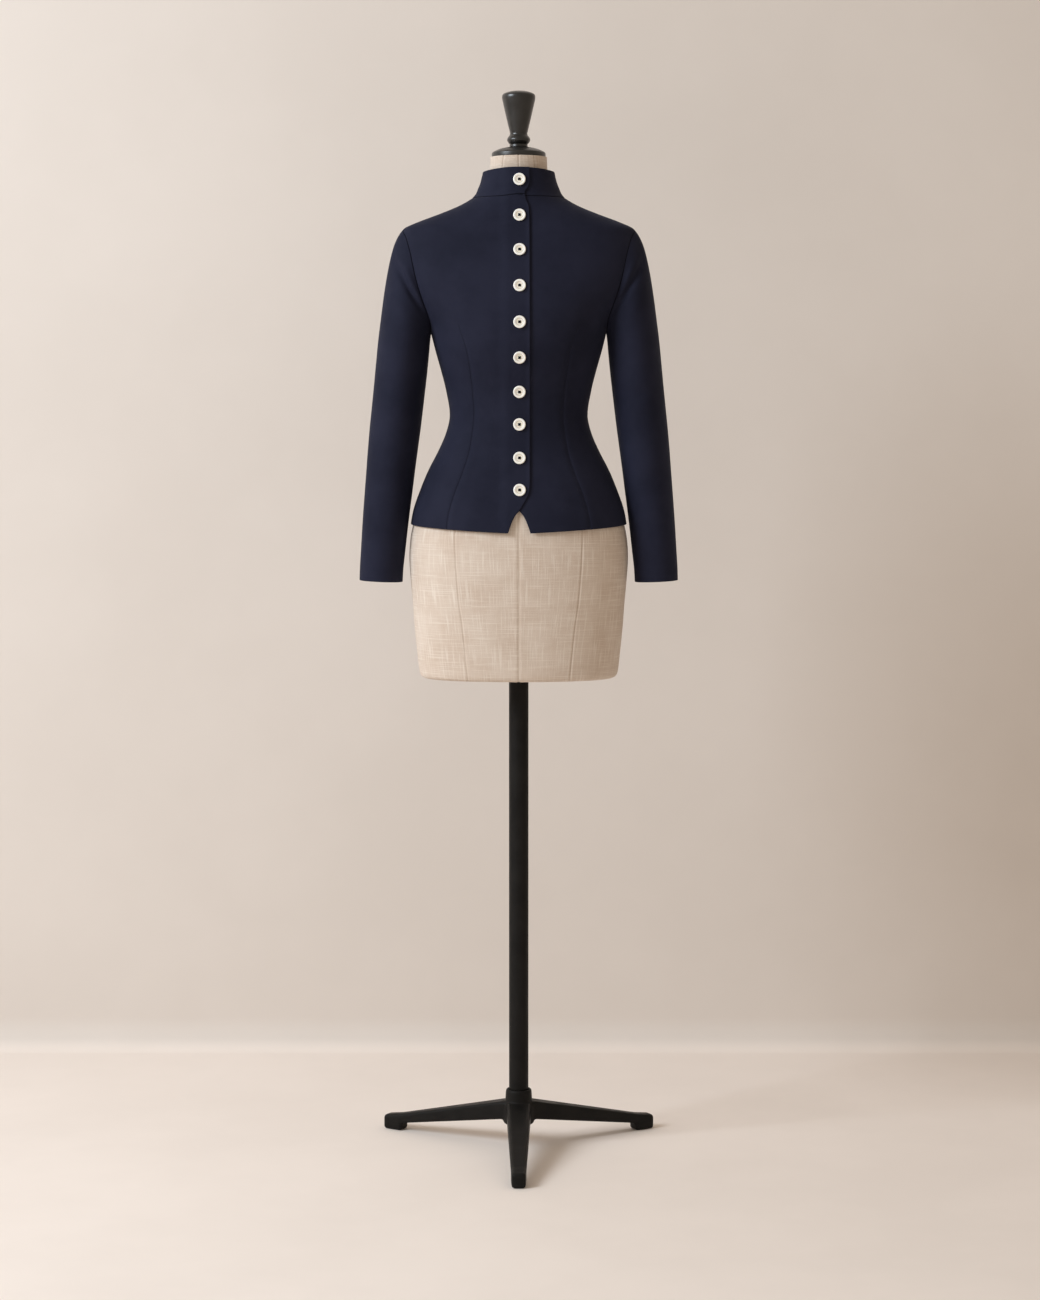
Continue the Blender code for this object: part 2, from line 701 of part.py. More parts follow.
def back_angles(row):
    near, fold, far = (math.pi - angle for angle in dart_angles(row.height))
    end = outer_angle(row, False)
    return spread(math.pi, near, BACK_MIDDLE_STEPS) + [near, fold] + spread(far, end, SIDE_STEPS) + [end]


def front_panel(name, is_upper, seams, finish):
    sign = -1.0 if is_upper else 1.0
    outer, inner = [], []
    for row in torso_rows():
        rise_at = (lambda x: lap_rise(-x)) if is_upper else (lambda x: 0.0)
        out, ins = panel_row(row, front_angles(row, is_upper), True, seams, rise_at)
        outer.append([mirrored(p, sign) for p in out])
        inner.append([mirrored(p, sign) for p in ins])
    wall(name, outer, inner, False, finish)


def back_panel(seams, finish):
    outer, inner = [], []
    for row in torso_rows():
        out, ins = panel_row(row, back_angles(row), False, seams, lambda x: 0.0)
        outer.append([mirrored(p, -1.0) for p in out[:0:-1]] + out)
        inner.append([mirrored(p, -1.0) for p in ins[:0:-1]] + ins)
    wall("back_panel", outer, inner, False, finish)


def sleeve(name, sign, seams, finish):
    grid = sleeve_surface()
    normals = ring_normals(grid)
    edge = [s.point + s.across * (SEAM_GAP / 2.0) for s in seams]
    outer = [[mirrored(p, sign) for p in edge]]
    inner = [[mirrored(p - s.through, sign) for p, s in zip(edge, seams)]]
    for row, line in zip(grid[1:], normals[1:]):
        outer.append([mirrored(p, sign) for p in row])
        inner.append([mirrored(p - n * CLOTH, sign) for p, n in zip(row, line)])
    wall(name, outer, inner, True, finish)


# ---- the collar -----------------------------------------------------------------------------------------------
def collar(finish):
    """One band, from its under end at the lap, round by the left side and the back, to its over end."""
    neck = Row(NECKLINE, None)
    under = front_angles(neck, False)
    back = back_angles(neck)
    over = [2.0 * math.pi - a for a in front_angles(neck, True)]
    left_back = back[::-1]
    right_back = [2.0 * math.pi - a for a in back]
    round_neck = under + left_back[1:] + right_back[1:-1] + over[::-1]
    lap_count = len(lap_columns(0.0, True))
    outer, inner = [], []
    for band in COLLAR_BANDS:
        share = (band.height - NECKLINE) / (COLLAR_BANDS[-1].height - NECKLINE)
        height = band.height + COLLAR_FRONT_LIFT * share
        angles = list(round_neck)
        for c in range(lap_count):
            under_x = lap_columns(lap_edge_x(height, False), False)[c]
            over_x = lap_columns(lap_edge_x(height, True), True)[c]
            angles[c] = angle_at(band.half_width, COLLAR_SQUARENESS, under_x)
            angles[-1 - c] = 2.0 * math.pi - angle_at(band.half_width, COLLAR_SQUARENESS, over_x)
        out, ins = [], []
        for angle in angles:
            if band.height == NECKLINE:
                seam = neckline_seam(angle)
                point = seam.point + seam.across * (SEAM_GAP / 2.0)
                normal = seam.through.normalized()
            else:
                point = collar_point(share, angle)
                normal = surface_normal(collar_point, share, angle, COLLAR_STEP)
            point = point + normal * (lap_rise(point.x) if angle > math.pi and point.y < 0.0 else 0.0)
            out.append(point)
            ins.append(point - normal * COLLAR_CLOTH)
        outer.append(out)
        inner.append(ins)
    wall("collar", outer, inner, False, finish)


# ---- the buttons ----------------------------------------------------------------------------------------------
def button_mesh(finish):
    """A dished button with a raised rim and two sewing holes, facing +Z."""
    button = turned("button", BUTTON_PROFILE, BUTTON_SEGMENTS, finish, BUTTON_SHARP)
    settled(button)
    for sign in (-1.0, 1.0):
        drill = cylinder("hole", BUTTON_HOLE_RADIUS, -BUTTON_HOLE_REACH, BUTTON_HOLE_REACH, BUTTON_HOLE_SEGMENTS)
        hole = bpy.data.objects.new("hole", drill)
        hole.data.transform(Matrix.Translation((sign * BUTTON_HOLE_SPACING / 2.0 * MM, 0.0, 0.0)))
        parts.objects.link(hole)
        combine(button, hole, "DIFFERENCE")
    mesh = button.data
    bpy.data.objects.remove(button, do_unlink=True)
    return mesh


def lap_surface(height):
    """The upper layer's outer point and normal on the button line."""
    if height > NECKLINE:
        band = between(COLLAR_BANDS, height)
        angle = angle_at(band.half_width, COLLAR_SQUARENESS, LAP_CENTRE)
        share = (height - NECKLINE) / (COLLAR_BANDS[-1].height + COLLAR_FRONT_LIFT - NECKLINE)
        return collar_point(share, angle), surface_normal(collar_point, share, angle, COLLAR_STEP)
    s = between(SECTIONS, height)
    angle = angle_at(s.half_width, s.squareness, LAP_CENTRE)
    return torso_point(height, angle), torso_normal(height, angle)


def buttons(finish):
    mesh = button_mesh(finish)
    for n, height in enumerate(BUTTON_HEIGHTS, start=1):
        point, normal = lap_surface(height)
        place = point + normal * (LAP_RISE + BUTTON_STAND_OFF)
        button = bpy.data.objects.new(f"button_{n:02d}", mesh)
        parts.objects.link(button)
        button.parent = axis
        button.matrix_local = Matrix.Translation(place * MM) @ normal.to_track_quat("Z", "Y").to_matrix().to_4x4()


# ---- the dress form and its stand -----------------------------------------------------------------------------
def form_body(finish):
    """Level loops from the hips to the neck, closed at the top, with a socket for the pole underneath."""
    floor = FORM_SECTIONS[0].height
    rings = [
        FormSection(floor + POLE_SOCKET, *[POLE_RADIUS + FIT_GAP] * 3, 2.0),
        FormSection(floor, *[POLE_RADIUS + FIT_GAP] * 3, 2.0),
        *FORM_SECTIONS,
    ]
    bm = bmesh.new()
    loops = []
    for s in rings:
        turns = spread(0.0, 2.0 * math.pi, FORM_SEGMENTS)
        points = [loop_point(s.half_width, s.front, s.back, s.squareness, a, s.height) for a in turns]
        loops.append([bm.verts.new(p * MM) for p in points])
    for low, high in zip(loops, loops[1:]):
        for c in range(FORM_SEGMENTS):
            d = (c + 1) % FORM_SEGMENTS
            bm.faces.new((low[c], low[d], high[d], high[c]))
    bm.faces.new(loops[0])
    bm.faces.new(loops[-1])
    bmesh.ops.recalc_face_normals(bm, faces=bm.faces)
    mesh = bpy.data.meshes.new("form_body")
    bm.to_mesh(mesh)
    bm.free()
    finish_piece("form_body", mesh, finish)


def leg_mesh():
    """One cast leg towards -Y: its side outline pushed out to both sides, narrower towards the foot."""
    bm = bmesh.new()
    outline = [bm.verts.new((0.0, -p.reach * MM, p.height * MM)) for p in LEG_OUTLINE]
    face = bm.faces.new(outline)
    extruded = bmesh.ops.extrude_face_region(bm, geom=[face])
    near = [v for v in extruded["geom"] if isinstance(v, bmesh.types.BMVert)]
    for side, points in ((-1.0, outline), (1.0, near)):
        for v in points:
            share = min(max((-v.co.y / MM - LEG_TAPER_START) / (FOOT_REACH - LEG_TAPER_START), 0.0), 1.0)
            width = LEG_HUB_WIDTH + (LEG_FOOT_WIDTH - LEG_HUB_WIDTH) * share
            v.co.x = side * width / 2.0 * MM
    bmesh.ops.recalc_face_normals(bm, faces=bm.faces)
    mesh = bpy.data.meshes.new("leg")
    bm.to_mesh(mesh)
    bm.free()
    return mesh


def base(finish):
    """The hub with its three legs, one casting, bored for the pole."""
    casting = turned("base", HUB_PROFILE, TURNED_SEGMENTS, finish)
    settled(casting)
    for n in range(LEG_COUNT):
        leg = bpy.data.objects.new("leg", leg_mesh())
        parts.objects.link(leg)
        bevel = leg.modifiers.new("soft edges", "BEVEL")
        bevel.width = LEG_BEVEL * MM
        bevel.segments = 2
        bevel.limit_method = "ANGLE"
        bevel.angle_limit = math.radians(LEG_BEVEL_ANGLE)
        settled(leg)
        leg.data.transform(Matrix.Rotation(n * 2.0 * math.pi / LEG_COUNT, 4, "Z"))
        combine(casting, leg, "UNION")
    bore_top = HUB_PROFILE[0].height + BORE_OVERRUN
    drill = cylinder("bore", POLE_RADIUS + FIT_GAP, HUB_SOCKET_FLOOR, bore_top, TURNED_SEGMENTS)
    bore = bpy.data.objects.new("bore", drill)
    parts.objects.link(bore)
    combine(casting, bore, "DIFFERENCE")
    casting.data.shade_smooth()
    casting.data.set_sharp_from_angle(angle=math.radians(CASTING_SHARP))


def stand(wood, steel):
    foot = HUB_SOCKET_FLOOR + FIT_GAP
    top = FORM_SECTIONS[0].height + POLE_SOCKET - FIT_GAP
    finish_piece("pole", cylinder("pole", POLE_RADIUS, foot, top, TURNED_SEGMENTS), steel)
    cap = turned("neck_cap", CAP_PROFILE, TURNED_SEGMENTS, wood)
    cap.location.z = (FORM_SECTIONS[-1].height + FIT_GAP) * MM
    finial = turned("finial", FINIAL_PROFILE, TURNED_SEGMENTS, wood)
    finial.location.z = cap.location.z + (CAP_PROFILE[0].height + FIT_GAP) * MM


# ---- build ----------------------------------------------------------------------------------------------------
for old in list(bpy.data.objects):
    bpy.data.objects.remove(old, do_unlink=True)

parts = bpy.data.collections.new("jacket_on_dress_form")
bpy.context.scene.collection.children.link(parts)

# The front foot reaches further towards -Y than the two others reach towards +Y, so the pole's axis stands
# behind the middle of the whole.
back_reach = FOOT_REACH * math.cos(math.pi / LEG_COUNT) + LEG_FOOT_WIDTH / 2.0 * math.sin(math.pi / LEG_COUNT)
axis = bpy.data.objects.new("pole_axis", None)
axis.location.y = (FOOT_REACH - back_reach) / 2.0 * MM
parts.objects.link(axis)

navy_cloth = material("navy_cloth", NAVY, 0.85)
bone = material("bone", BONE, 0.35)
linen = material("linen", LINEN, 0.9)
black_wood = material("black_wood", BLACK_WOOD, 0.3)
black_steel = material("black_steel", BLACK_STEEL, 0.45, 0.6)

armholes = armhole_seams()
front_panel("front_right", True, armholes, navy_cloth)
front_panel("front_left", False, armholes, navy_cloth)
back_panel(armholes, navy_cloth)
sleeve("sleeve_right", -1.0, armholes, navy_cloth)
sleeve("sleeve_left", 1.0, armholes, navy_cloth)
collar(navy_cloth)
buttons(bone)
form_body(linen)
stand(black_wood, black_steel)
base(black_steel)
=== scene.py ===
# %% [markdown]
# # A buttoned high-neck jacket on a dress form
#
# The object is a navy jacket with a stand collar, set-in sleeves and cream buttons, on a linen-covered
# dress form with a black wooden cap and a black cast foot. The measured model comes in first and never
# changes. It says where everything is. Each piece below is then made finer than the measured one, in the
# same place.

import math
from collections import namedtuple
from functools import lru_cache

import bmesh
import bpy
from mathutils import Matrix, Vector
from mathutils.kdtree import KDTree


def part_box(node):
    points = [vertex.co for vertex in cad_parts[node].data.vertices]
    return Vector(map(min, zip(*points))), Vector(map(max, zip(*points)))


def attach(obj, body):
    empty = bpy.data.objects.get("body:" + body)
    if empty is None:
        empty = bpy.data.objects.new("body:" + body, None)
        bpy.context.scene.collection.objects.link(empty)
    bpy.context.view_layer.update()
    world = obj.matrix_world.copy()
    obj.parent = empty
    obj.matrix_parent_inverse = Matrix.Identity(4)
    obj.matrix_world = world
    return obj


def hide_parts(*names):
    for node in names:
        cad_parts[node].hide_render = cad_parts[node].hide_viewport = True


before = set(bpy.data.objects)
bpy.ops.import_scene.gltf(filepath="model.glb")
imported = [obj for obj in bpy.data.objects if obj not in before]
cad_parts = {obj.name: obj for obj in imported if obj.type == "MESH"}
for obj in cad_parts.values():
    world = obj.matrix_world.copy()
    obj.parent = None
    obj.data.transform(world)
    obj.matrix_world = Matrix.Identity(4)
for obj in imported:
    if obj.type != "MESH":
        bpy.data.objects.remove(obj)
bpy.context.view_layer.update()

# %% [markdown]
# ## Sizes
#
# A tailor thinks in millimetres, so the tables are in millimetres, counted from the pole's axis. One
# function turns a point of the tables into a point of the scene. The pole itself says where its axis
# stands.

# %% From the tables to the scene
MM = 0.001
pole_low, pole_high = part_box("pole")
AXIS = Vector(((pole_low.x + pole_high.x) / 2.0, (pole_low.y + pole_high.y) / 2.0, 0.0))
WEARERS_LEFT = 1.0  # towards +X
WEARERS_RIGHT = -1.0


def in_scene(point, side=WEARERS_LEFT):
    """A point of the tables in the scene, on the wearer's left side or mirrored to the right one."""
    return Vector((point.x * side * MM, point.y * MM, point.z * MM)) + AXIS


def from_axis(place):
    """The other way round: a point of the scene in millimetres from the pole's axis."""
    return (place - AXIS) / MM


print("pole axis at", [round(v, 4) for v in AXIS])

# %% [markdown]
# ## The cut of the jacket
#
# The torso is a stack of level sections, widest at the hips and the chest and narrow at the waist. Each
# row says how wide and how deep the cloth is at one height. A smooth curve through the rows fills in the
# heights between them.

# %% The torso's sections
def table(columns, *rows):
    """A table whose columns have names."""
    kind = namedtuple("Row", columns)
    return [kind(*row) for row in rows]


SECTIONS = table(
    "height half_width front back squareness dart_share",
    (1019, 178, 111, 120.5, 2.2, 0.65),
    (1056, 171.5, 104.5, 114.5, 2.2, 0.65),
    (1089, 160, 98.5, 107.5, 2.2, 0.635),
    (1120, 147, 93, 98, 2.16, 0.605),
    (1152, 130.5, 88.5, 88, 2.12, 0.6),
    (1181, 118, 85.5, 81, 2.1, 0.622),
    (1210, 112, 84.5, 78, 2.1, 0.63),
    (1250, 118, 88.5, 82.5, 2.12, 0.618),
    (1282, 126, 96.5, 90, 2.16, 0.608),
    (1314, 135, 104, 96.5, 2.2, 0.61),
    (1341, 141.8, 108, 100.5, 2.2, 0.64),
    (1361, 149, 108.5, 103, 2.2, 0.65),
    (1399, 174, 104, 105.5, 2.2, 0.64),
    (1425, 188.5, 99, 105, 2.2, 0.62),
    (1451, 196.5, 92.5, 102, 2.2, 0.61),
    (1475, 196.5, 86, 97, 2.2, 0.6),
    (1494, 192, 80.5, 91.5, 2.2, 0.6),
    (1509, 186, 75.5, 86, 2.2, 0.6),
    (1520, 162.5, 72, 82, 2.16, 0.61),
    (1533, 127.5, 69, 76.5, 2.12, 0.62),
    (1546, 96, 66, 71.5, 2.08, 0.62),
    (1558, 75, 63.5, 67.5, 2.05, 0.62),
    (1563, 70, 62.5, 66, 2.05, 0.62),
)
HEM, ARMPIT, SHOULDER_TIP, NECKLINE = 1033.0, 1341.0, 1509.0, 1558.0
ARMHOLE_HALF_DEPTH = 54.0
CLOTH = 1.5


def smooth_step(low, high, value):
    share = min(max((value - low) / (high - low), 0.0), 1.0)
    return share * share * (3.0 - 2.0 * share)


def between(rows, key):
    """One row of a table at any value of its first column, on a smooth curve through the rows."""
    last = len(rows) - 1
    key = min(max(key, rows[0][0]), rows[last][0])
    i = max(n for n in range(last) if rows[n][0] <= key)
    low, high = rows[i], rows[i + 1]
    before, after = rows[max(i - 1, 0)], rows[min(i + 2, last)]
    span = high[0] - low[0]
    share = (key - low[0]) / span
    values = [key]
    for column in range(1, len(low)):
        start = (high[column] - before[column]) / (high[0] - before[0]) * span
        end = (after[column] - low[column]) / (after[0] - low[0]) * span
        rise = high[column] - low[column]
        bow = (start - rise) * (1.0 - share) - (end - rise) * share
        values.append(low[column] + rise * share + share * (1.0 - share) * bow)
    return type(low)(*values)


@lru_cache(maxsize=None)
def torso_section(height):
    return between(SECTIONS, height)


def loop_point(half_width, front, back, squareness, angle, height):
    """A point of a level loop. The angle is 0 at the front middle and pi at the back."""
    power = 2.0 / squareness
    across, ahead = math.sin(angle), math.cos(angle)
    x = half_width * math.copysign(abs(across) ** power, across)
    y = -(front if ahead >= 0.0 else back) * math.copysign(abs(ahead) ** power, ahead)
    return Vector((x, y, height))


def torso_point(height, angle):
    s = torso_section(height)
    return loop_point(s.half_width, s.front, s.back, s.squareness, angle, height)


def angle_at(half_width, squareness, x):
    """The angle in the front half of a loop at which it has this x."""
    share = min(abs(x) / half_width, 1.0)
    return math.copysign(math.asin(share ** (squareness / 2.0)), x)


waist = min((s for s in SECTIONS if s.height < ARMPIT), key=lambda s: s.half_width)
mean_radius = math.hypot(waist.half_width, (waist.front + waist.back) / 2.0) / math.sqrt(2.0)
print("waist at", waist.height, "mm, about", round(math.tau * mean_radius), "mm round")

# %% [markdown]
# ## Where the points go
#
# Cloth bends softly in the middle of a piece and sharply at its edges, where it is folded or sewn. So the
# columns and rows of each piece are close together at its edges and wide apart in the middle: a small
# first step that grows until it reaches the full one. This gives crisp edges without a heavy mesh.

# %% Steps that are fine at the edges
EDGE_STEP = 0.3
CLOTH_STEP = 3.4
STEP_GROWTH = 1.45


def graded(length, coarse=CLOTH_STEP, fine_start=True, fine_end=True):
    """Shares from 0 to 1 along a length in millimetres, with small steps at its fine ends."""
    growing = []
    step = EDGE_STEP
    while step < coarse:
        growing.append(step)
        step *= STEP_GROWTH
    start = growing if fine_start else []
    end = growing[::-1] if fine_end else []
    rest = length - sum(start) - sum(end)
    count = max(round(rest / coarse), 1)
    steps = start + [rest / count] * count + end
    stations = [0.0]
    for step in steps:
        stations.append(stations[-1] + step / length)
    stations[-1] = 1.0
    return stations


print("steps across a 230 mm front:", len(graded(230.0)) - 1)

# %% [markdown]
# ## From a flat piece of cloth to a sewn one
#
# A cloth piece starts as the operator's flat grid, as cloth starts as a flat cut. Each of its points is
# then moved to its place on the figure. After that the points move a little along their own normals: out
# over the layer below, in at a dart, or round at a folded edge. At last the sheet gets its thickness,
# inwards, and its edges stay crisp. A few helpers come first. Every piece below uses them to turn its
# finished bmesh into a named object.

# %% From a bmesh to a named piece
SHARP_EDGE = math.radians(50.0)


def as_data(name, mesh):
    """Writes a bmesh into a mesh of the scene, and frees it."""
    data = bpy.data.meshes.new(name)
    mesh.to_mesh(data)
    mesh.free()
    return data


def placed(name, data):
    """A new object of the scene, at the origin."""
    thing = bpy.data.objects.new(name, data)
    bpy.context.scene.collection.objects.link(thing)
    return thing


def baked(thing):
    """The mesh that an object's modifiers make. The object itself is removed."""
    bpy.context.view_layer.update()
    made = bpy.data.meshes.new_from_object(thing.evaluated_get(bpy.context.evaluated_depsgraph_get()))
    bpy.data.objects.remove(thing, do_unlink=True)
    return made


def points_in(geometry):
    return [part for part in geometry if isinstance(part, bmesh.types.BMVert)]


def edges_in(geometry):
    return [part for part in geometry if isinstance(part, bmesh.types.BMEdge)]


def finished_piece(name, mesh, material):
    data = as_data(name, mesh)
    data.shade_smooth()
    data.set_sharp_from_angle(angle=SHARP_EDGE)
    data.materials.append(material)
    piece = placed(name, data)
    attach(piece, "root")
    low, high = (Vector(f(v.co[i] for v in data.vertices) for i in range(3)) for f in (min, max))
    print(f"{name}: {len(data.polygons)} faces, {[round(v / MM) for v in high - low]} mm")
    return piece


# %% Hang a flat grid on the figure
FAR_AWAY = 1.0  # metres: the distance noted on a point that is near no seam
RIM_STEP = 0.4
THICKEST = 1.5  # times the cloth's own thickness
SAME_POINT = 0.01  # mm: points closer than this are one


def search_tree(points):
    tree = KDTree(len(points))
    for n, point in enumerate(points):
        tree.insert(point, n)
    tree.balance()
    return tree


class ClothPiece:
    """A piece of cloth while it is being made: its mesh, and the column and row of each of its points."""

    def __init__(self, name, columns, rows, place, flat, side=WEARERS_LEFT, closed_round=False):
        self.name = name
        self.mesh = bmesh.new()
        grain = self.mesh.loops.layers.uv.new("grain")
        self.seam = self.mesh.verts.layers.float.new("seam_distance")
        self.line = self.mesh.verts.layers.float.new("line_distance")
        self.last_column, self.last_row = len(columns) - 1, len(rows) - 1
        bmesh.ops.create_grid(
            self.mesh, x_segments=self.last_column, y_segments=self.last_row, size=0.5, calc_uvs=True
        )
        self.cells = {}
        for point in self.mesh.verts:
            c = round((point.co.x + 0.5) * self.last_column)
            r = round((point.co.y + 0.5) * self.last_row)
            self.cells[point] = (c, r, columns[c], rows[r])
            point.co = in_scene(place(columns[c], rows[r]), side)
            point[self.seam] = point[self.line] = FAR_AWAY
        for face in self.mesh.faces:
            for loop in face.loops:
                c, r, column, row = self.cells[loop.vert]
                loop[grain].uv = Vector(flat(column, row)) * MM
        if side == WEARERS_RIGHT:
            bmesh.ops.reverse_faces(self.mesh, faces=self.mesh.faces)
        if closed_round:
            bmesh.ops.remove_doubles(self.mesh, verts=self.mesh.verts, dist=SAME_POINT * MM)
            self.cells = {point: cell for point, cell in self.cells.items() if point.is_valid}

    def lift(self, amount):
        """Moves each point along its normal by amount(place, column, row), in millimetres."""
        self.mesh.normal_update()
        moves = []
        for point, (_, _, column, row) in self.cells.items():
            moves.append((point, point.normal * amount(from_axis(point.co), column, row) * MM))
        for point, move in moves:
            point.co += move

    def rim(self, on_rim):
        """A search tree of close points along the edges whose two ends are on the rim."""
        points = []
        for edge in self.mesh.edges:
            if all(on_rim(*self.cells[v][:2]) for v in edge.verts):
                a, b = (v.co for v in edge.verts)
                count = math.ceil((b - a).length / (RIM_STEP * MM))
                points += [a.lerp(b, n / count) for n in range(count + 1)]
        return search_tree(points)

    def roll(self, on_rim, radius, is_seam):
        """Rounds an edge over: at a hem the cloth is folded, and at a seam it turns in to its neighbour."""
        tree = self.rim(on_rim)
        self.mesh.normal_update()
        moves = []
        for point in self.cells:
            distance = tree.find(point.co)[2] / MM
            if is_seam:
                point[self.seam] = distance * MM
            if distance < radius:
                depth = radius - math.sqrt(radius * radius - (radius - distance) ** 2)
                moves.append((point, -point.normal * depth * MM))
        for point, move in moves:
            point.co += move

    def finish(self, material, slot, thickness):
        """Gives the sheet its thickness, inwards, and makes it a piece of the scene."""
        self.mesh.normal_update()
        if thickness:
            outside = search_tree([point.co for point in self.mesh.verts])
            bmesh.ops.solidify(self.mesh, geom=self.mesh.faces[:], thickness=thickness * MM)
            for point in self.mesh.verts:
                near, _, distance = outside.find(point.co)
                # a sharp corner would throw its inner point far out
                if distance > THICKEST * thickness * MM:
                    point.co = near.lerp(point.co, thickness * MM / distance)
        return finished_piece(self.name, self.mesh, material)


# %% [markdown]
# ## Patterns that more than one material uses
#
# A pattern that several finishes share is built once, as a node group with named sockets. The woven
# ground takes the cloth's own UV map in metres, so its threads have their true pitch. A small helper adds
# a node and joins its inputs.

# %% A helper for nodes
def add(tree, kind, inputs=None, **settings):
    """Adds a node. Each input is either another node's output or a plain value."""
    node = tree.nodes.new(kind)
    for name, value in settings.items():
        setattr(node, name, value)
    for key, value in (inputs or {}).items():
        if isinstance(value, bpy.types.NodeSocket):
            tree.links.new(value, node.inputs[key])
        else:
            node.inputs[key].default_value = value
    return node


def calculate(tree, operation, a, b=0.0, clamp=False):
    return add(tree, "ShaderNodeMath", {0: a, 1: b}, operation=operation, use_clamp=clamp).outputs[0]


def times(tree, a, b):
    return calculate(tree, "MULTIPLY", a, b)


def noise(tree, place, scale, detail, roughness=0.5):
    inputs = {"Vector": place, "Scale": scale, "Detail": detail, "Roughness": roughness}
    return add(tree, "ShaderNodeTexNoise", inputs).outputs[0]


def stretched(tree, place, scale):
    return add(tree, "ShaderNodeMapping", {0: place, "Scale": scale}).outputs[0]


def ranged(tree, value, low, high, to_low=0.0, to_high=1.0):
    """A value taken smoothly from one range to another."""
    inputs = {"Value": value, "From Min": low, "From Max": high, "To Min": to_low, "To Max": to_high}
    return add(tree, "ShaderNodeMapRange", inputs, interpolation_type="SMOOTHSTEP").outputs["Result"]


def tinted(tree, share, a, b):
    """A colour between two colours."""
    inputs = {"Factor": share, 6: a, 7: b}
    return add(tree, "ShaderNodeMix", inputs, data_type="RGBA").outputs[2]


def pattern(name, place, values, outputs):
    """A new node group with these sockets, and what comes in by them. A place is a vector."""
    group = bpy.data.node_groups.new(name, "ShaderNodeTree")
    for socket in place:
        group.interface.new_socket(socket, in_out="INPUT", socket_type="NodeSocketVector")
    for socket in values:
        group.interface.new_socket(socket, in_out="INPUT", socket_type="NodeSocketFloat")
    for socket in outputs:
        group.interface.new_socket(socket, in_out="OUTPUT", socket_type="NodeSocketFloat")
    return group, group.nodes.new("NodeGroupInput").outputs


def end_pattern(group, outputs):
    """Joins a group's results to its output sockets."""
    out = group.nodes.new("NodeGroupOutput")
    for socket, result in outputs.items():
        group.links.new(result, out.inputs[socket])
    return group


def use_pattern(tree, group, inputs):
    return add(tree, "ShaderNodeGroup", inputs, node_tree=group).outputs


# %% [markdown]
# ### Woven ground
#
# In a weave one set of threads runs up and one runs across, and each rises where the other dips. Two sine
# waves make the two sets, and the larger one is the thread on top. A twill steps the crossing sideways
# from row to row, which gives its fine slanted lines. A slow noise along the threads makes some thicker,
# as linen has them.

# %% The weave, the sewn line and the mottle as node groups
WEFT_HEIGHT = 0.85  # the threads across lie a little lower than the threads up
SLUB_ACROSS, SLUB_ALONG = 700.0, 20.0  # how often a thick thread comes in a metre, across it and along it
SLUB_FROM, SLUB_FULL = 0.48, 0.74


def build_weave():
    group, given = pattern("woven_ground", ["Cloth"], ["Pitch", "Twill", "Slub"], ["Height", "Slub"])
    parts = add(group, "ShaderNodeSeparateXYZ", {0: given["Cloth"]}).outputs
    across = calculate(group, "DIVIDE", parts["X"], given["Pitch"])
    up = calculate(group, "DIVIDE", parts["Y"], given["Pitch"])
    slanted = calculate(group, "ADD", across, times(group, up, given["Twill"]))
    warp, weft = (
        calculate(group, "ABSOLUTE", calculate(group, "SINE", times(group, threads, math.pi)))
        for threads in (slanted, up)
    )
    height = calculate(group, "MAXIMUM", warp, times(group, weft, WEFT_HEIGHT))
    slubs = []
    for scale in ((SLUB_ACROSS, SLUB_ALONG, 1.0), (SLUB_ALONG, SLUB_ACROSS, 1.0)):
        thick = noise(group, stretched(group, given["Cloth"], scale), 1.0, 2.0)
        slubs.append(ranged(group, thick, SLUB_FROM, SLUB_FULL))
    slub = times(group, calculate(group, "ADD", *slubs, clamp=True), given["Slub"])
    return end_pattern(group, {"Height": calculate(group, "ADD", height, slub), "Slub": slub})


def build_sewn_line():
    """A groove where two layers are sewn together: 1 on the line, 0 away from it."""
    group, given = pattern("sewn_line", [], ["Distance", "Width"], ["Mask"])
    away = calculate(group, "DIVIDE", calculate(group, "ABSOLUTE", given["Distance"]), given["Width"])
    return end_pattern(group, {"Mask": ranged(group, away, 0.0, 1.0, 1.0, 0.0)})


def build_mottle():
    """Slow, soft changes of tone and wear. Their size is in metres."""
    group, given = pattern("soft_mottle", ["Place"], ["Size"], ["Mask"])
    slow = noise(group, given["Place"], calculate(group, "DIVIDE", 1.0, given["Size"]), 4.0, 0.6)
    return end_pattern(group, {"Mask": ranged(group, slow, 0.3, 0.7)})


woven_ground = build_weave()
sewn_line = build_sewn_line()
soft_mottle = build_mottle()
print("patterns:", [g.name for g in bpy.data.node_groups])

# %% [markdown]
# ## Creases, placed one by one
#
# Worn cloth is never quite smooth. A crease is a soft trough or a soft ridge along a short, slightly bent
# line, with its own depth and width, and it fades out towards both ends. The lines are given as seen from
# the front, x from the pole's axis and height from the floor. They are uneven on purpose: no two sides of
# a real garment match.

# %% The height of the creases at one place
BEND = 0.06  # how far a crease bows to one side, as a share of its length
FADE_IN = (-0.25, 0.3)  # where along its line a crease begins and where it is full, as shares
FADE_OUT = (0.6, 1.15)
Crease = namedtuple("Crease", "x_top top x_low low depth width bend", defaults=(BEND,))


def creases(*rows):
    return [Crease(*row) for row in rows]


